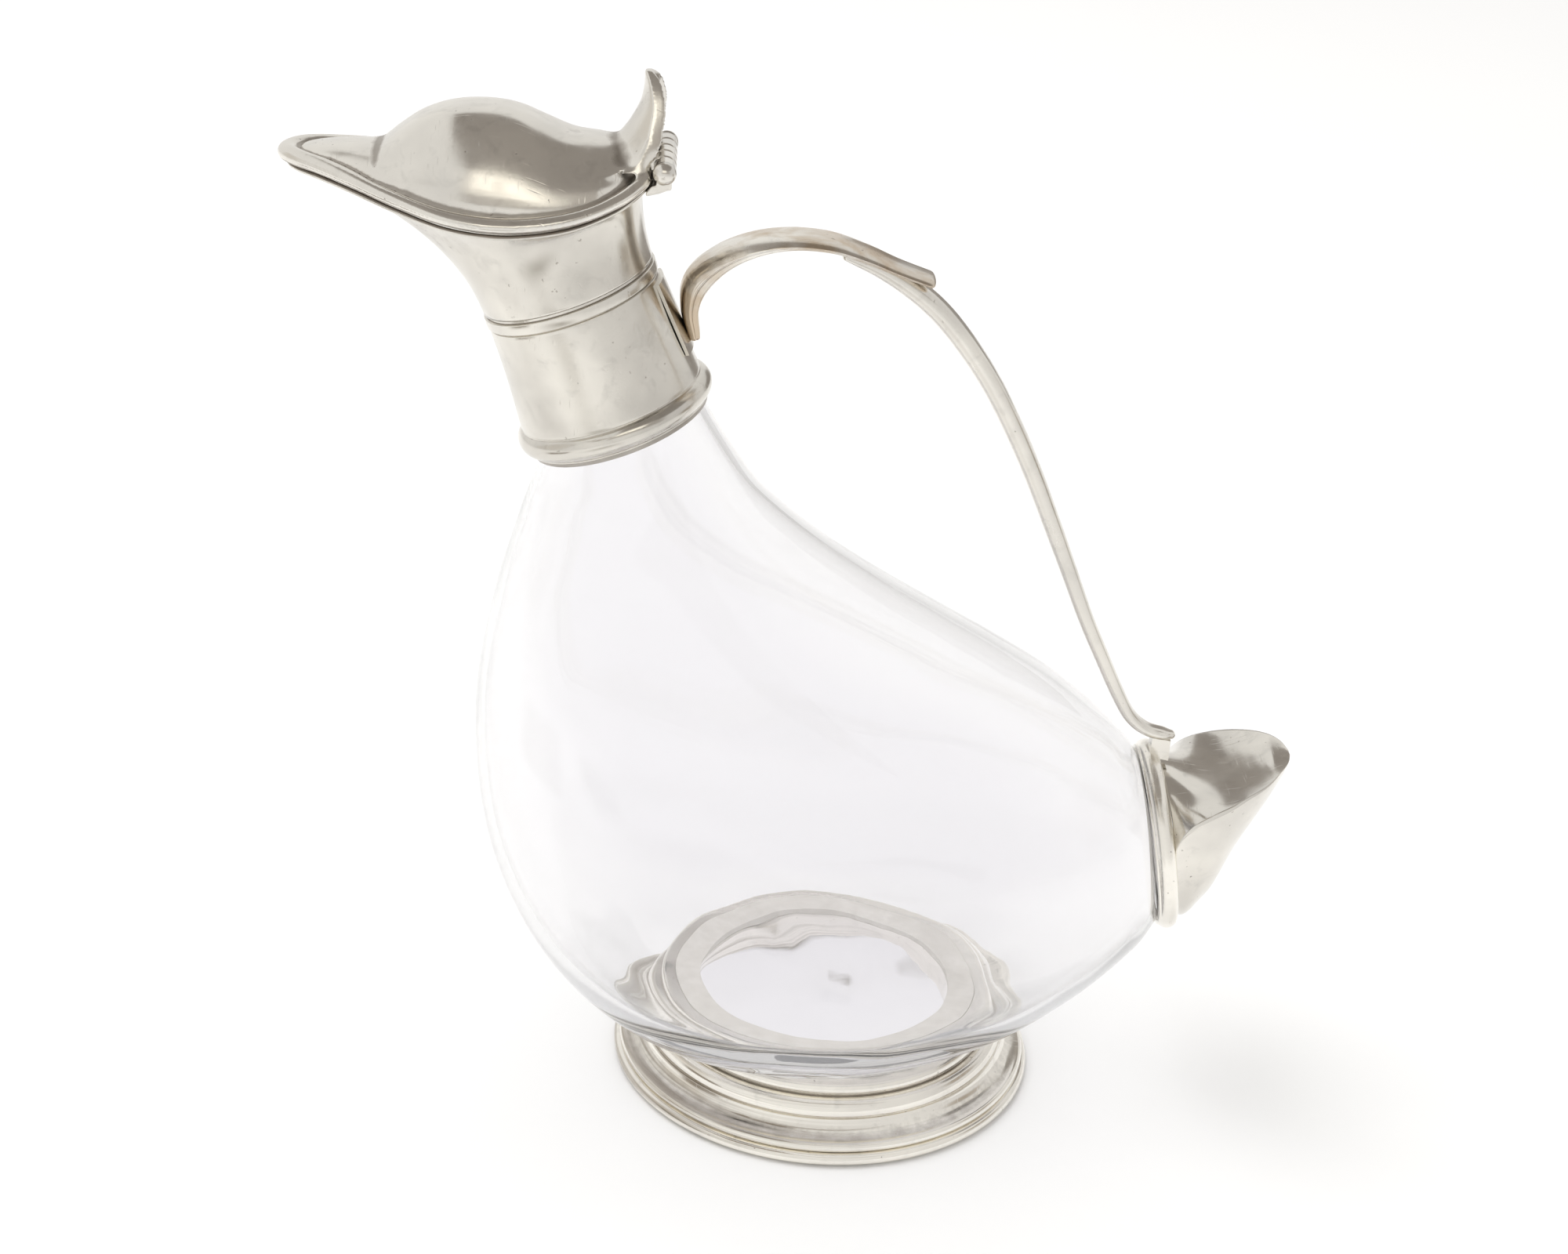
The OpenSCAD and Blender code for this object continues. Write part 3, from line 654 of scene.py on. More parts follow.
def make_glass():
    steps, sides = 8, 192
    ends = [neck_slice(s) for s in (MOUTH_S, 8, FOOT_OF_NECK_S)]
    slices = curve(ends + BODY_SLICES + [tail_slice(*t) for t in TAIL_END], steps)
    outer = [slice_ring(g, 0, SEAT_Z, 2.0, sides) for g in slices]
    # The hollow ends a little before the glass does
    hollow = slices[: -3 * steps + 4]
    inner = [rippled(slice_ring(g, GLASS_WALL, SEAT_Z + GLASS_BASE, 9.0, sides)) for g in hollow]
    obj = skin("glass_vessel", inner[::-1] + outer)
    piece(obj, "jug", GLASS, "clear_glass", "glass_body")


# ---------- Foot ----------

FOOT_R = 55
FOOT_HOLE_R = 33
FOOT_WALL = 1.6
RIM_TOP = 3.4
FOOT_BEAD_R = 1.3
COVE_ARC_R = 5.1
COVE_ARC_END = 18
COVE_CENTRE = [FOOT_R - 2.6, RIM_TOP + 2 * FOOT_BEAD_R + COVE_ARC_R]
COVE_R = COVE_CENTRE[0] - COVE_ARC_R * math.cos(math.radians(COVE_ARC_END))
COVE_Z = COVE_CENTRE[1] - COVE_ARC_R * math.sin(math.radians(COVE_ARC_END))
SEAT_LIP_R = 40
CEMENT_H = 1.1


def make_foot():
    inner_r = COVE_R - FOOT_WALL - 1
    outlines = {
        "foot_rim": [
            [FOOT_R - 5, 0], [FOOT_R - 2.9, 0],
            *arc([FOOT_R - 1.6, RIM_TOP - 1.6], 1.6, -35, 90, 14),
            [FOOT_R - 5, RIM_TOP],
        ],
        "foot_base": [
            [FOOT_R - 5 - FOOT_WALL, RIM_TOP], [COVE_CENTRE[0] + 0.2, RIM_TOP],
            *arc([COVE_CENTRE[0], RIM_TOP + FOOT_BEAD_R], FOOT_BEAD_R, -60, 80, 14),
            *arc(COVE_CENTRE, COVE_ARC_R, -90, COVE_ARC_END - 180, 16),
            [inner_r, COVE_Z], [inner_r, COVE_Z - FOOT_WALL],
        ],
        "foot_seat": [
            [FOOT_HOLE_R, COVE_Z], [COVE_R - 0.3, COVE_Z],
            *arc([COVE_R - 3.6, COVE_Z + 1.2], 3.7, -12, 62, 16),
            *arc([COVE_R - 5.2, COVE_Z + 5.9], 1.9, -55, 88, 14),
            [SEAT_LIP_R, SEAT_Z - 0.1], [SEAT_LIP_R, SEAT_Z - CEMENT_H], [FOOT_HOLE_R, SEAT_Z - CEMENT_H],
        ],
    }
    slots = {"foot_rim": "pewter_bright", "foot_base": "pewter", "foot_seat": "pewter"}
    for node, outline in outlines.items():
        obj = turned(node + "_turned", softened(outline, 0.25), np.zeros(3), VERTICAL, LENGTHWISE, 256)
        mark_creases(obj, 0.08, 4)
        piece(obj, "jug", FOOT_METAL, slots[node], node)


# ---------- Collar ----------

COLLAR_R0 = 22.6
COLLAR_R1 = 20.9
COLLAR_WALL = 1.2
BEAD_S = 6.4
LIP_S = 7.6
BAND_S = 4
GROOVE = 0.45


def make_collar():
    in0, in1 = COLLAR_R0 - COLLAR_WALL, COLLAR_R1 - COLLAR_WALL + 0.1
    waist = (COLLAR_R0 + COLLAR_R1) / 2 - 0.3
    top = COLLAR_LEN + BAND_S
    outlines = {
        "collar_lip": [[in0, -LIP_S], [in0 + 0.5, -LIP_S], [in0 + 0.6, -BEAD_S], [in0, -BEAD_S]],
        "collar_bead": [
            [in0, -BEAD_S], [COLLAR_R0, -BEAD_S],
            *arc([COLLAR_R0 - 1.2, -BEAD_S / 2], 3, -68, 68, 18),
            [COLLAR_R0 - 0.2, 0], [in0, 0],
        ],
        "collar_sleeve": [
            [in1, COLLAR_LEN], [in0, 0],
            *curve([[COLLAR_R0, 0], [waist, COLLAR_LEN / 2], [COLLAR_R1, COLLAR_LEN]], 14),
        ],
        "collar_band": [
            [in1, COLLAR_LEN], [COLLAR_R1 - GROOVE, COLLAR_LEN], [COLLAR_R1 - GROOVE, COLLAR_LEN + GROOVE],
            [COLLAR_R1 + 0.3, COLLAR_LEN + GROOVE + 0.1], [COLLAR_R1 + 0.35, COLLAR_LEN + 1.8],
            [COLLAR_R1 + 0.3, top - GROOVE - 0.5], [COLLAR_R1 - GROOVE, top - GROOVE - 0.4],
            [COLLAR_R1 - GROOVE, top], [in1, top],
        ],
    }
    slots = {"collar_lip": "pewter", "collar_sleeve": "pewter"}
    for node, outline in outlines.items():
        obj = turned(node + "_turned", softened(outline, 0.18), NECK, UP, BACK)
        mark_creases(obj, 0.055, 4)
        material = DARK_METAL if node == "collar_lip" else SHEET_METAL
        piece(obj, "jug", material, slots.get(node, "pewter_bright"), node)


# ---------- Rim of the mouth, shared by the spout and the lid ----------

HALF_RIM = [
    [-54.6, 0, 239.4], [-55, 8, 239], [-57.5, 14, 237.2], [-63, 19.3, 234.4], [-73, 24.3, 231.4],
    [-86, 26.8, 230], [-99, 25.5, 230.6], [-111, 21, 233], [-121, 15.5, 235.2], [-129, 10, 236.4],
    [-135, 5.2, 236.9], [-137.4, 0, 237],
]
RIM_STEPS = 10
RIM = loop(HALF_RIM + [[x, -y, z] for x, y, z in HALF_RIM[-2:0:-1]], RIM_STEPS)
RIM_TANGENT = (np.roll(RIM, -1, 0) - np.roll(RIM, 1, 0)) * [1, 1, 0]
RIM_TANGENT /= np.linalg.norm(RIM_TANGENT, axis=1)[:, None]
RIM_OUT = np.stack([RIM_TANGENT[:, 1], -RIM_TANGENT[:, 0], 0 * RIM_TANGENT[:, 0]], 1)
SPINE_FRONT = -117
SPINE_REAR = -67


def spine_x(x):
    """Where a rib from that x meets the line under the crown of the lid."""
    return np.clip(x, SPINE_FRONT, SPINE_REAR)


def inward(p):
    """Level directions from points of an outline to the line under the crown."""
    d = np.stack([spine_x(p[:, 0]) - p[:, 0], -p[:, 1], 0 * p[:, 0]], 1)
    return d / np.linalg.norm(d, axis=1)[:, None]


# ---------- Spout ----------

SPOUT_WALL = 1.5
# Width of the level land inside the rim, at the back and at the beak
LAND_BACK = 1.8
LAND_BEAK = 4
WIRE_R = 0.6
WIRE_DROP = 0.9
# The painted shadow of the seam under the lid: how far below the rim it starts on the wire, and over how far
# it deepens
WIRE_SEAM = 0.95
WIRE_SEAM_FADE = 0.25


def spout_rows(base_r, land_scale, count):
    """Rows of the spout's surface, from the collar up to the rim."""
    a = np.radians(np.arange(len(RIM)) * 360 / len(RIM))
    beak = ((1 - np.cos(a)) / 2)[:, None]
    around = np.cos(a)[:, None] * BACK + np.sin(a)[:, None] * SIDE
    start = NECK + (COLLAR_LEN + BAND_S) * UP + base_r * around
    land = land_scale * (LAND_BACK + (LAND_BEAK - LAND_BACK) * beak**2)
    finish = RIM + land * inward(RIM)
    flare = (RIM + [80, 0, 0]) * [1, 1, 0]
    flare = flare / np.linalg.norm(flare, axis=1)[:, None] + (0.75 - 0.35 * beak) * VERTICAL
    flare /= np.linalg.norm(flare, axis=1)[:, None]
    low = start + (5 + 8 * beak) * UP
    high = finish - (5 + 26 * beak**2) * flare
    rows = []
    for t in np.linspace(0, 1, count + 1):
        lower = (1 - t) ** 3 * start + 3 * t * (1 - t) ** 2 * low
        rows.append(lower + 3 * t**2 * (1 - t) * high + t**3 * finish)
    return rows


def height_of(outline, co):
    """Height of an outline, the same on both sides, at each point's x."""
    order = np.argsort(outline[:, 0], kind="stable")
    return np.interp(co[:, 0], outline[order, 0], outline[order, 2])


def make_spout():
    outer = spout_rows(COLLAR_R1 + 0.1, 0, 40)
    inner = spout_rows(COLLAR_R1 + 0.1 - SPOUT_WALL, 1, 40)
    obj = ring_skin("spout_scoop", inner + outer[::-1])
    mark_creases(obj, 0.4, 8)
    piece(obj, "jug", SHEET_METAL, "pewter_bright", "spout")
    wire = []
    for k in range(16):
        a = -2 * math.pi * k / 16
        wire.append(RIM + (0.1 + WIRE_R * math.cos(a)) * RIM_OUT + [0, 0, WIRE_R * math.sin(a) - WIRE_DROP])
    obj = ring_skin("spout_wire", wire)
    mark_creases(obj, 0.4, 2)
    co = positions(obj) / MM
    # Painted shadow of the seam under the lid's edge, on the upper part of the wire
    add_seam_shade(obj, (co[:, 2] - height_of(RIM, co) + WIRE_SEAM) / WIRE_SEAM_FADE)
    piece(obj, "jug", SHEET_METAL, "pewter_bright", "spout_rim")


# ---------- Lid ----------

LID_GAP = 0.45
LID_OVERHANG = 1.75
LID_EDGE_H = 3.1
LID_SHEET = 1.9
# The painted shadow of the seam on the lid: how far up it reaches, and over how far it fades
LID_SEAM = 0.75
LID_SEAM_FADE = 0.3
KNUCKLE_R = 2.6
LID_BACK = HINGE[0] - KNUCKLE_R - 0.6
# Crown line of the lid in the mirror plane, from beak to hinge: x, z
CROWN = curve([
    [-117, 241.8], [-112.5, 245.8], [-107, 249.6], [-100, 252], [-92, 252.6],
    [-85.5, 251.7], [-79.5, 249.4], [-73, 247], [-67, 246.4],
], 10)
EDGE_W = 5.6
# Section of the rolled edge: distance in from the outline, share of its height
EDGE_SECTION = curve([
    [EDGE_W, 0], [1.2, 0], [0.3, 0.2], [0, 0.45], [0.5, 0.76],
    [1.6, 0.95], [2.8, 1], [4.2, 0.86], [EDGE_W, 0.5],
], 4)
RIDGE_HALF = 1.2
# The outer edge of the sheet rises along the bill: the x it starts at, and over what length
BILL_START = -92
BILL_RISE_LEN = 24
# Front x and z in the middle, half width, set-back of the edges, thickness, drop of the edges
THUMB = [
    [-64.5, 245.4, 12.3, 6, 3.4, 3.2], [-61.4, 248.8, 10.6, 5.2, 3.4, 2], [-59.4, 252, 8.6, 4, 3.2, 1],
    [-58, 255, 7, 3, 3.1, 0.4], [-57.4, 258, 5.2, 1.9, 2.9, 0.1], [-57.3, 260.5, 3.3, 1, 2.6, 0],
    [-57.4, 262, 1.2, 0.3, 1.6, 0],
]
# The sweep of the lid's saddle up into the thumbpiece, in the same terms
THUMB_ROOT = [[-76, 245.3, 15, 2, 6, 3.6], [-71.5, 245.2, 14.4, 4.5, 5, 4.2], [-67.6, 245, 13.6, 5.8, 4, 4]]


def tip(x):
    """From 0 at the front of the crown to 1 at the tip of the beak."""
    return np.clip((SPINE_FRONT - x) / 20, 0, 1) ** 2


LID_OUTLINE = RIM + (LID_OVERHANG + 1.1 * tip(RIM[:, 0]))[:, None] * RIM_OUT + [0, 0, LID_GAP]
LID_OUTLINE[:, 0] = np.minimum(LID_OUTLINE[:, 0], LID_BACK)
RIB = np.hypot(spine_x(LID_OUTLINE[:, 0]) - LID_OUTLINE[:, 0], LID_OUTLINE[:, 1])


def lid_point(d, h):
    """Points round the lid, a distance in from the outline and a height above it."""
    lift = h * (1 + 0.15 * tip(LID_OUTLINE[:, 0]))
    moved_in = np.asarray(d)[..., None] * inward(LID_OUTLINE)
    return LID_OUTLINE + moved_in + lift[:, None] * VERTICAL


def lid_rows(drop, count):
    """Rows of the lid's sheet from the rolled edge in to the ridge. Along the bill it starts higher up."""
    rows = []
    for u in np.linspace(0, 1, count + 1):
        p = lid_point(EDGE_W + (RIB - RIDGE_HALF - EDGE_W) * u, 0)
        rise = np.clip((BILL_START - LID_OUTLINE[:, 0]) / BILL_RISE_LEN, 0, 1)
        low = lid_point(np.zeros(len(RIB)), 0)[:, 2] + LID_EDGE_H * (0.55 + 0.4 * rise)
        high = np.interp(spine_x(p[:, 0]), CROWN[:, 0], CROWN[:, 1])
        p[:, 2] = low + (high - low) * (1 - (1 - u) ** 2.2) ** 0.75 - drop
        rows.append(p)
    return rows


def make_lid():
    top = lid_rows(0, 30)
    under = lid_rows(LID_SHEET, 30)
    edge = [lid_point(np.full(len(RIB), d), h * LID_EDGE_H) for d, h in EDGE_SECTION]
    shell = strip_skin("lid_body", top[::-1] + edge[::-1] + under[1:], 1)
    u = np.linspace(-1, 1, 33)
    rows = []
    # Each station is one dished slice: its front face, then its rear face
    for x, z, half_width, set_back, thick, drop in curve(THUMB_ROOT + THUMB, 8):
        front = np.stack([x + set_back * u**2, half_width * u, z - drop * u**2], 1)
        rear = np.stack([x + set_back * u**2 + thick, half_width * u * 0.93, z - drop * u**2], 1)
        rows.append(np.vstack([front, rear[::-1]]))
    thumb = strip_skin("thumb", rows, 0)
    obj = remeshed(join("lid_cast", [shell, thumb]), 0.35, 8)
    # Where the thumbpiece grows out of the sheet, and the front of the crown
    for side in (-1, 0, 1):
        eased(obj, np.array([-63, 11 * side, 245]), np.array([9.0, 9.0, 7.0]), 70)
    eased(obj, np.array([-114, 0, 242]), np.array([8.0, 14.0, 6.0]), 25)
    mark_creases(obj, 0.11, 20)
    co = positions(obj) / MM
    # Painted shadow of the seam under the lid, on the lowest part of the lid
    add_seam_shade(obj, (height_of(LID_OUTLINE, co) + LID_SEAM - co[:, 2]) / LID_SEAM_FADE)
    piece(obj, "lid", LID_METAL, "pewter_bright", "lid_shell", "lid_edge", "thumbpiece")


# ---------- Hinge ----------

HINGE_LEN = 25
KNUCKLE_GAP = 0.3
KNUCKLE_W = (HINGE_LEN - 4 * KNUCKLE_GAP) / 5


def knuckle(i):
    """One barrel of the hinge, with rounded ends, and the y that it starts at."""
    bore = 1.02
    y0 = -HINGE_LEN / 2 + i * (KNUCKLE_W + KNUCKLE_GAP)
    outline = softened([[bore, 0], [KNUCKLE_R, 0], [KNUCKLE_R, KNUCKLE_W], [bore, KNUCKLE_W]], 0.8, 5)
    return turned("barrel", outline, HINGE + y0 * SIDE, SIDE, LENGTHWISE, 64), y0


def knuckles(numbers, name, outline):
    """The barrels with those numbers, and a plate of that outline behind each."""
    parts = []
    for i in numbers:
        barrel, y0 = knuckle(i)
        parts += [barrel, plate(name, outline, y0, y0 + KNUCKLE_W)]
    return parts


def make_hinge():
    shelf_top = HINGE[2] - KNUCKLE_R - 0.4
    shelf = [
        [-55.6, shelf_top - 2.6], [-55.6, shelf_top - 1.4], [-54.3, shelf_top], [-50, shelf_top],
        [-49.8, shelf_top - 0.6], [-52.5, shelf_top - 1.8],
    ]
    post = [
        [HINGE[0] - 1.9, shelf_top - 1], [HINGE[0] - 1.9, HINGE[2] - 1.2],
        [HINGE[0] + 1.7, HINGE[2] - 1.2], [HINGE[0] + 1.7, shelf_top - 1],
    ]
    leaf = [
        [HINGE[0] - 4.4, HINGE[2] - 1.2], [HINGE[0] - 4.4, HINGE[2] + 1.4],
        [HINGE[0] - 1.2, HINGE[2] + KNUCKLE_R - 0.4], [HINGE[0] - 1.2, HINGE[2] - 1.2],
    ]
    parts = [plate("shelf", shelf, -HINGE_LEN / 2, HINGE_LEN / 2), *knuckles((0, 2, 4), "post", post)]
    obj = remeshed(join("hinge_fixed", parts), 0.2, 5)
    mark_creases(obj, 0.1, 6)
    piece(obj, "jug", CAST_METAL, "pewter", "hinge_bracket")
    obj = remeshed(join("hinge_moving", knuckles((1, 3), "leaf", leaf)), 0.2, 4)
    mark_creases(obj, 0.1, 6)
    piece(obj, "lid", CAST_METAL, "pewter", "lid_knuckles")
    parts = []
    for side in (-1, 1):
        outline = [[0.01, 0], [KNUCKLE_R + 0.1, 0], *arc([0, 0.4], KNUCKLE_R + 0.1, 10, 89.8, 14)]
        end = HINGE + side * HINGE_LEN / 2 * SIDE
        parts.append(turned("cap", outline, end, side * SIDE, LENGTHWISE, 64))
    obj = join("hinge_buttons", parts)
    mark_creases(obj, 0.3, 3)
    piece(obj, "jug", CAST_METAL, "pewter_bright", "hinge_caps")


# ---------- Handle ----------

LEAF_W = 15
STEM_W = 8
# Stations in the mirror plane: x, z, width and thickness
LEAF = [
    [-43, 198, 5.5, 3], [-44.4, 205.4, 9, 4.5],
    [-43, 212.4, LEAF_W - 3, 6.4], [-37.4, 218.3, LEAF_W - 1, 5.4],
    [-29.8, 222.2, LEAF_W, 4.2], [-21, 224, LEAF_W, 3.2], [-11.5, 223.6, LEAF_W - 0.5, 2.8],
    [-3, 221.2, LEAF_W - 1.5, 2.4], [5, 218.1, LEAF_W - 2.5, 2.1], [12.8, 215.5, LEAF_W - 3, 2],
]
STEM = [
    [-9, 220.6, 5, 2.2], [0, 217.6, 7, 4.2], [8, 213, STEM_W, 4.8], [14.8, 207.6, STEM_W, 5.1],
    [21.5, 200.2, STEM_W, 5.1], [28.5, 190.7, STEM_W - 0.2, 5], [34.8, 180, STEM_W - 0.6, 4.9],
    [41, 168, STEM_W - 1, 4.7], [47, 155, STEM_W - 1.4, 4.5], [52.5, 142.8, STEM_W - 1.8, 4.2],
    [58.4, 129.6, STEM_W - 2.2, 3.9], [63.9, 118.7, STEM_W - 2.5, 3.7], [68.8, 109.3, STEM_W - 2.8, 3.5],
    [72.8, 103, STEM_W - 2.9, 3.2], [77.3, 99.6, STEM_W - 3, 2.9], [82, 98.4, STEM_W - 3.1, 2.6],
    [84, 98.2, 0.4 * STEM_W, 1.8],
]
# Half sections, from the top round to the underside: share of the width, share of the thickness
LEAF_SECTION = [
    [0, 0.5], [0.25, 0.43], [0.4, 0.27], [0.48, 0.08], [0.5, -0.03], [0.47, -0.13],
    [0.42, -0.17], [0.4, -0.26], [0.38, -0.42], [0.3, -0.5], [0, -0.5],
]
STEM_SECTION = [
    [0, 0.5], [0.22, 0.485], [0.4, 0.38], [0.485, 0.14], [0.5, -0.1], [0.44, -0.36], [0.26, -0.48], [0, -0.5],
]
# The rounded ends of a bar: their length, and the angles of their rows
END_LENGTH = 1.1
END_ANGLES = (20, 40, 58, 72, 83)


def bar(name, stations, half_section, steps=8):
    """A bar with a shaped section swept along stations, with rounded ends."""
    half = curve(half_section, 4)
    section = np.vstack([half, half[-2:0:-1] * [-1, 1]])
    path = curve(stations, steps)
    rows = []
    for i, (x, z, width, thick) in enumerate(path):
        d = path[min(i + 1, len(path) - 1)][:2] - path[max(i - 1, 0)][:2]
        d /= np.linalg.norm(d)
        across = np.array([-d[1], 0, d[0]])
        centre = np.array([x, 0, z])
        rows.append(centre + section[:, :1] * width * SIDE + section[:, 1:] * thick * across)
    for end, order in ((0, 1), (-1, -1)):
        middle = rows[end].mean(0)
        outward = middle - rows[end + order].mean(0)
        outward /= np.linalg.norm(outward)
        caps = [
            middle + (rows[end] - middle) * math.cos(a) + END_LENGTH * math.sin(a) * outward
            for a in np.radians(END_ANGLES)
        ]
        rows = caps[::-1] + rows if end == 0 else rows + caps
    return skin(name, rows)


def make_handle():
    for name, node, stations, section, material in (
        ("handle_leaf_cast", "handle_leaf", LEAF, LEAF_SECTION, LEAF_METAL),
        ("handle_stem_cast", "handle_stem", STEM, STEM_SECTION, CAST_METAL),
    ):
        obj = bar(name, stations, section)
        mark_creases(obj, 0.2, 4)
        piece(obj, "jug", material, "pewter_bright", node)


# ---------- Tail ----------

TAIL_R = 24.5
TAIL_IN0 = 22.4
TAIL_IN1 = 20.6
TAIL_SHEET = 1.4
# Sections of the tail: x, z of the crease, half width, z of the top and of the keel, lean with the ring
TAIL_SECTIONS = [
    [TAIL[0] + TAIL_RING_W / math.cos(TAIL_TILT), 76, 21.4, 90.2, 48.4, 1],
    [87.5, 80.8, 21.4, 90, 47.2, 0.8], [90.5, 84.6, 21.5, 89.3, 48.2, 0.5], [93.5, 87, 21.3, 88.9, 51.4, 0.3],
    [97, 89, 20.2, 88.8, 56, 0.1], [101, 90.9, 18.2, 89.3, 66.8, 0], [105, 92.3, 15.9, 90.8, 75.6, 0],
    [107.8, 93.4, 13.3, 92.2, 81, 0], [109.8, 94.2, 10.7, 93.4, 85, 0], [111.6, 94.6, 8, 94.1, 88.6, 0],
    [112.9, 94.7, 5, 94.4, 91.6, 0], [113.8, 94.6, 1.2, 94.5, 93.9, 0],
]


def tail_outline(t, inset):
    """Outline of one section, drawn in by inset: over the top, then back under the keel."""
    x, crease, half_width, top, keel, lean = t
    width = half_width - 1.4 * inset
    u = np.linspace(-1, 1, 81)
    over = np.stack([width * u, crease + (top - inset - crease) * (1 - u**2)], 1)
    v = u[-2:0:-1]
    under = np.stack([width * v, crease + (keel + inset - crease) * (1 - np.abs(v) ** 2.4) ** 0.9], 1)
    y, z = np.vstack([over, under]).T
    return np.stack([x - lean * (z - TAIL[2]) * math.tan(TAIL_TILT), y, z], 1)


def make_tail():
    outline = [
        [TAIL_IN0, 0], [TAIL_R - 1, 0],
        *arc([TAIL_R - 2.4, TAIL_RING_W / 2], 2.5, -55, 60, 14),
        [21.9, TAIL_RING_W], [TAIL_IN1, TAIL_RING_W],
    ]
    obj = turned("tail_ring_turned", softened(outline, 0.3), TAIL, AFT, TOP)
    mark_creases(obj, 0.08, 4)
    piece(obj, "jug", RING_METAL, "pewter", "tail_ring")
    steps = 8
    sections = curve(TAIL_SECTIONS, steps)
    # The blade is hollow up to halfway between its fourth and its fifth section
    hollow_end = int(3.5 * steps)
    inner = [tail_outline(t, TAIL_SHEET) for t in sections[: hollow_end + 1]]
    obj = skin("tail_blade", inner[::-1] + [tail_outline(t, 0) for t in sections])
    mark_creases(obj, 0.4, 6)
    piece(obj, "jug", TAIL_METAL, "pewter_bright", "tail_shell")


make_glass()
make_foot()
make_collar()
make_spout()
make_lid()
make_hinge()
make_handle()
make_tail()

# CAD nodes that keep their own shape
for node, material in (
    ("foot_cement", CEMENT), ("collar_cement", CEMENT), ("tail_cement", CEMENT),
    ("hinge_pin", CAST_METAL), ("handle_saddle", SHEET_METAL), ("handle_tail_pad", CAST_METAL),
):
    NODES[node].data.materials.clear()
    NODES[node].data.materials.append(material)

# ---------- Floor, light and camera ----------


def flat_sheet(name, corners, material):
    """A flat staged sheet with four corners."""
    mesh = bpy.data.meshes.new(name)
    mesh.from_pydata(corners, [], [(0, 1, 2, 3)])
    mesh.materials.append(material)
    obj = put_in_scene(name, mesh)
    return obj


FLOOR_HALF = 6.0
# Radii, in metres, that the floor's lit disc fades out between
DISC_R = 0.044
DISC_END_R = 0.05


def make_floor():
    """A white floor. Inside the foot's opening it is a darker disc that gives off an even light of its own,
    because the lamps alone leave it darker than the photograph."""
    s = Shader("floor_white")
    away = s.node("VectorMath", operation="LENGTH")
    s.link(s.place, away.inputs[0])
    under = s.ramp(away.outputs["Value"], (DISC_R, 1), (DISC_END_R, 0))
    white = s.mixed(s.noise(3, 2), (0.93, 0.93, 0.93), (0.95, 0.95, 0.95))
    s.link(s.mixed(under, white, (0.1, 0.1, 0.1)), s.surface.inputs["Base Color"])
    s.surface.inputs["Roughness"].default_value = 0.9
    s.surface.inputs["Specular IOR Level"].default_value = 0.0
    s.link(under, s.surface.inputs["Emission Strength"])
    s.surface.inputs["Emission Color"].default_value = (0.84, 0.825, 0.84, 1)
    size = FLOOR_HALF
    corners = [(-size, -size, 0), (size, -size, 0), (size, size, 0), (-size, size, 0)]
    flat_sheet("floor", corners, s.material)


def make_world():
    """A white tent, a little dimmer to the right."""
    world = bpy.data.worlds.new("studio")
    bpy.context.scene.world = world
    world.use_nodes = True
    tree = world.node_tree
    tree.nodes.clear()
    output = tree.nodes.new("ShaderNodeOutputWorld")
    light = tree.nodes.new("ShaderNodeBackground")
    place = tree.nodes.new("ShaderNodeTexCoord")
    split = tree.nodes.new("ShaderNodeSeparateXYZ")
    ramp = tree.nodes.new("ShaderNodeValToRGB")
    tree.links.new(place.outputs["Generated"], split.inputs[0])
    tree.links.new(split.outputs["X"], ramp.inputs["Fac"])
    stops = ((0.1, (1.0, 0.99, 0.97, 1)), (0.95, (0.86, 0.845, 0.83, 1)))
    for element, (position, colour) in zip(ramp.color_ramp.elements, stops):
        element.position = position
        element.color = colour
    tree.links.new(ramp.outputs["Color"], light.inputs["Color"])
    light.inputs["Strength"].default_value = 0.88
    tree.links.new(light.outputs[0], output.inputs["Surface"])


# How far the light of a card varies over it, as a share
CARD_SPREAD = 0.2


def make_card(name, centre, along, across, colour, edge=0.04, reach=(0, 20)):
    """A card of light that only polished surfaces mirror. along and across are half its sides, and edge is
    the share of its size that it fades out over. It is mirrored only from distances within reach, in metres,
    and not through the glass."""
    centre, along, across = Vector(centre), Vector(along), Vector(across)
    corners = [centre + i * along + j * across for i, j in ((-1, -1), (1, -1), (1, 1), (-1, 1))]
    s = Shader(name)
    s.tree.nodes.remove(s.surface)
    glow = s.node("Emission")
    dimmer, brighter = (tuple(share * c for c in colour) for share in (1 - CARD_SPREAD, 1 + CARD_SPREAD))
    s.link(s.mixed(s.noise(3.0, 3, 0.6), dimmer, brighter), glow.inputs["Color"])
    place = s.node("SeparateXYZ")
    s.link(s.node("TexCoord").outputs["Generated"], place.inputs[0])
    sides = [k for k, size in enumerate(np.ptp(np.array(corners), axis=0)) if size > 1e-6][:2]
    path = s.node("LightPath")
    length = path.outputs["Ray Length"]
    glassy = s.maths("MINIMUM", path.outputs["Transmission Depth"], 1.0)
    shares = []
    for k in sides:
        away = s.maths("ABSOLUTE", s.maths("SUBTRACT", place.outputs[k], 0.5), 0)
        shares.append(s.ramp(away, (0.5 - edge, 1), (0.5, 0)))
    shares.append(s.maths("SUBTRACT", 1.0, glassy))
    shares.append(s.maths("GREATER_THAN", length, reach[0]))
    shares.append(s.maths("LESS_THAN", length, reach[1]))
    shown = shares[0]
    for share in shares[1:]:
        shown = s.maths("MULTIPLY", shown, share)
    clear = s.node("BsdfTransparent").outputs[0]
    s.link(s.shaders_mixed(shown, clear, glow.outputs[0]), s.output.inputs["Surface"])
    obj = flat_sheet(name, corners, s.material)
    obj.visible_camera = False
    obj.visible_diffuse = False
    obj.visible_transmission = False
    obj.visible_shadow = False


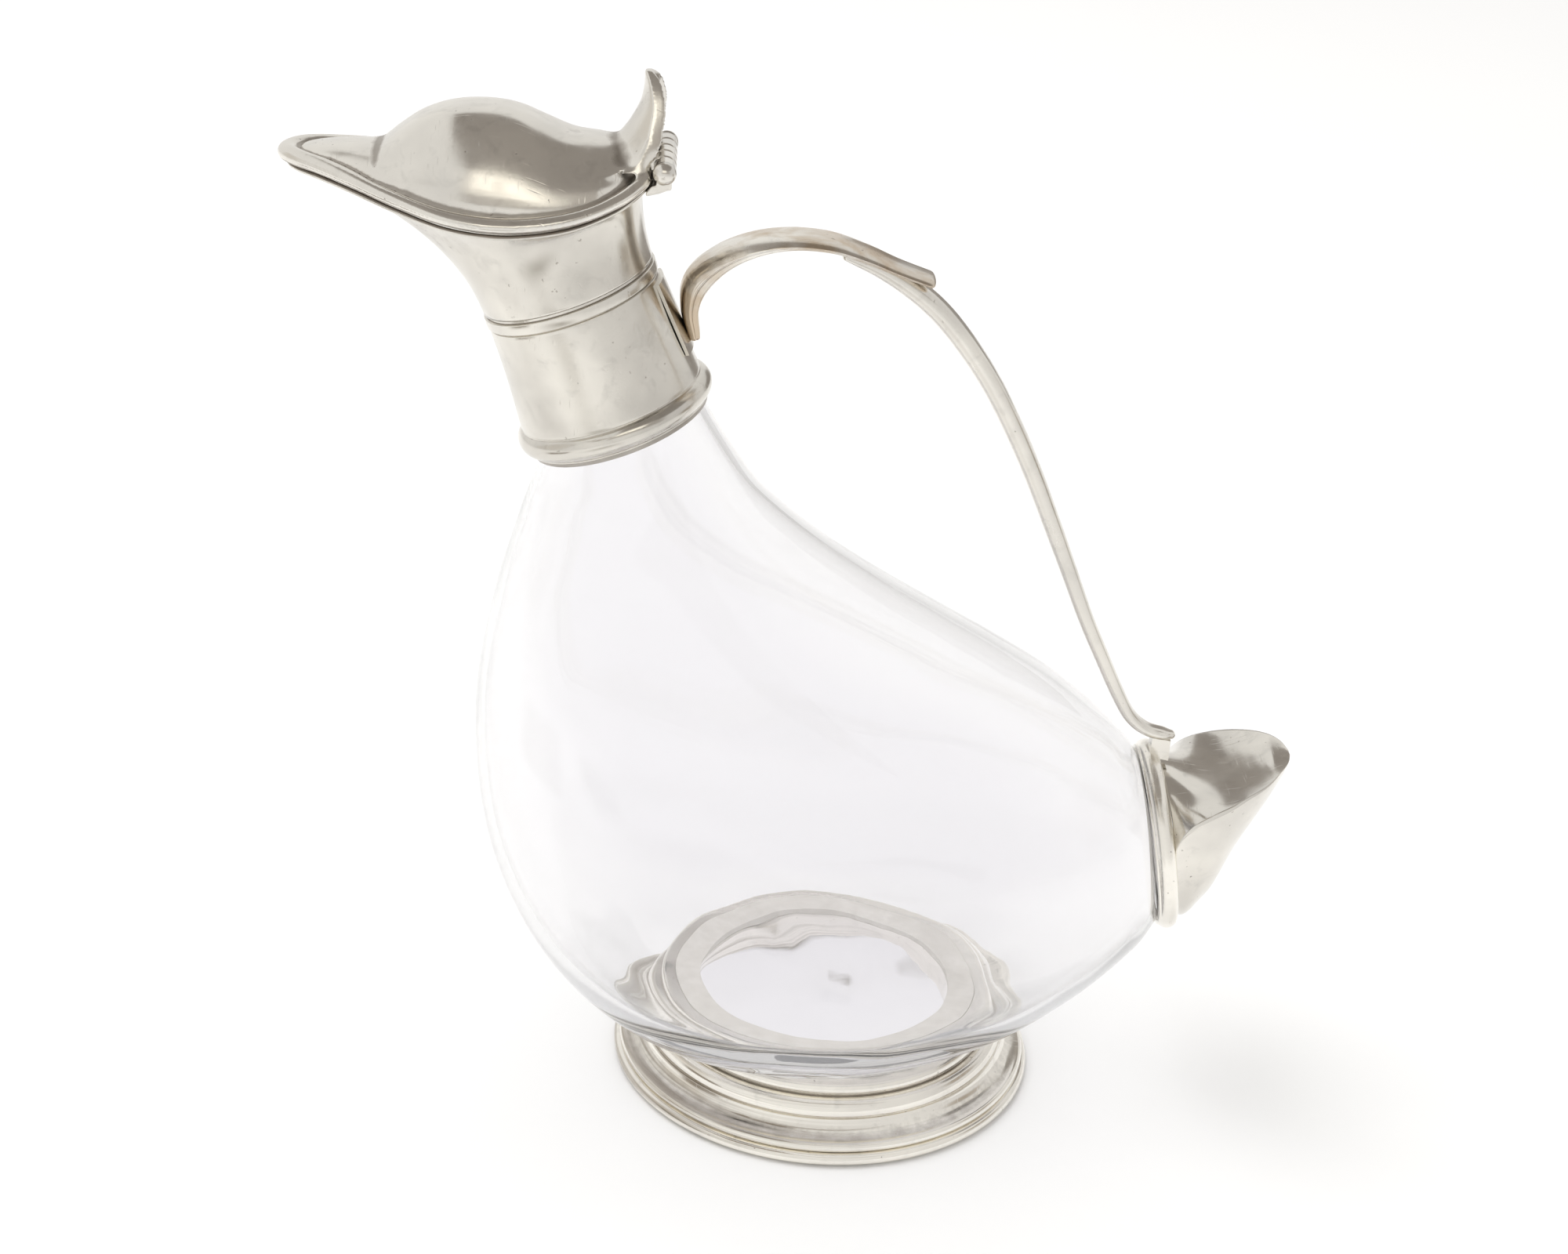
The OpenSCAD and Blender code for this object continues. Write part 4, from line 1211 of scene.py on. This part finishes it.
def make_cards():
    """What the polished metal mirrors: a dark ceiling, a grey room with a bright window and the camera in
    front of it, walls, the table and a low dark shape, and one dark card each for the foot and the tail."""
    dark, brown, grey = (0.31, 0.285, 0.26), (0.30, 0.26, 0.215), (0.48, 0.45, 0.415)
    window, camera, table = (1.6, 1.54, 1.40), (0.40, 0.31, 0.23), (0.52, 0.495, 0.455)
    left, right = (0.72, 0.69, 0.645), (0.42, 0.37, 0.31)
    make_card("ceiling_card", (0.065, -0.025, 0.56), (0.285, 0, 0), (0, 0.275, 0), dark, 0.02, (0, 0.54))
    make_card("room_card", (0.025, -0.25, 0.415), (0.215, 0, 0), (0, 0, 0.11), grey, 0.04, (0, 0.44))
    make_card("window_card", (-0.07, -0.245, 0.428), (0.10, 0, 0), (0, 0, 0.062), window, 0.04, (0, 0.4))
    make_card("camera_card", (-0.098, -0.24, 0.412), (0.009, 0, 0), (0, 0, 0.02), camera, 0.2, (0, 0.4))
    make_card("left_wall", (-1.0, 0.0, 0.45), (0, 0.40, 0), (0, 0, 0.40), left, 0.25)
    make_card("right_wall", (0.42, 0.0, 0.18), (0, 0.12, 0), (0, 0, 0.08), right, 0.3)
    make_card("table_card", (-0.14, -0.42, 0.002), (0.20, 0, 0), (0, 0.22, 0), table, 0.45)
    make_card("low_card", (-0.40, -0.14, 0.04), (0, 0.12, 0), (0, 0, 0.05), brown, 0.2)
    make_card("foot_card", (-0.20, -0.15, 0.41), (0.14, 0, 0), (0, 0.12, 0), brown, 0.15, (0.34, 0.6))
    make_card("far_card", (0.1475, 0.25, 0.2125), (0.1125, 0, 0), (0, 0, 0.0625), dark, 0.03, (0, 0.4))


def direction(azimuth, elevation):
    """From the middle of the object outward. The azimuth is 0 in front and grows to the right. In radians."""
    flat = math.cos(elevation)
    return Vector((math.sin(azimuth) * flat, -math.cos(azimuth) * flat, math.sin(elevation)))


def make_lamp(name, azimuth, elevation, distance, size, power):
    """A soft box that looks at the middle of the object. Neither polished metal nor the glass shows it."""
    lamp = bpy.data.lights.new(name, "AREA")
    lamp.shape = "RECTANGLE"
    lamp.size, lamp.size_y = size
    lamp.energy = power
    obj = put_in_scene(name, lamp)
    out = direction(math.radians(azimuth), math.radians(elevation))
    obj.location = (CAD_LOW + CAD_HIGH) / 2 + out * distance
    obj.rotation_mode = "QUATERNION"
    obj.rotation_quaternion = (-out).to_track_quat("-Z", "Y")
    obj.visible_glossy = False
    obj.visible_transmission = False


def make_camera():
    """The photograph's view: nearly square on, from above, rolled a little, aimed just below the middle."""
    azimuth, elevation, roll = math.radians(-2.76), math.radians(25.65), math.radians(3.87)
    distance = 0.704
    aim = (CAD_LOW + CAD_HIGH) / 2
    target = Vector((aim.x - 0.0038, 0, aim.z - 0.0077))
    back = direction(azimuth, elevation)
    level = Vector((math.cos(azimuth), math.sin(azimuth), 0))
    upright = back.cross(level)
    right = math.cos(roll) * level + math.sin(roll) * upright
    above = back.cross(right)
    data = bpy.data.cameras.new("camera")
    data.lens = 65
    data.sensor_width = 36
    data.clip_start, data.clip_end = 0.05, 50
    obj = put_in_scene("camera", data)
    turn = Matrix((right, above, back)).transposed().to_4x4()
    obj.matrix_world = Matrix.Translation(target + back * distance) @ turn
    bpy.context.scene.camera = obj


make_floor()
make_world()
make_cards()
make_lamp("key_lamp", -115, 70, 2.0, (1.5, 1.5), 17)
make_camera()
bpy.context.scene.view_settings.view_transform = "Standard"
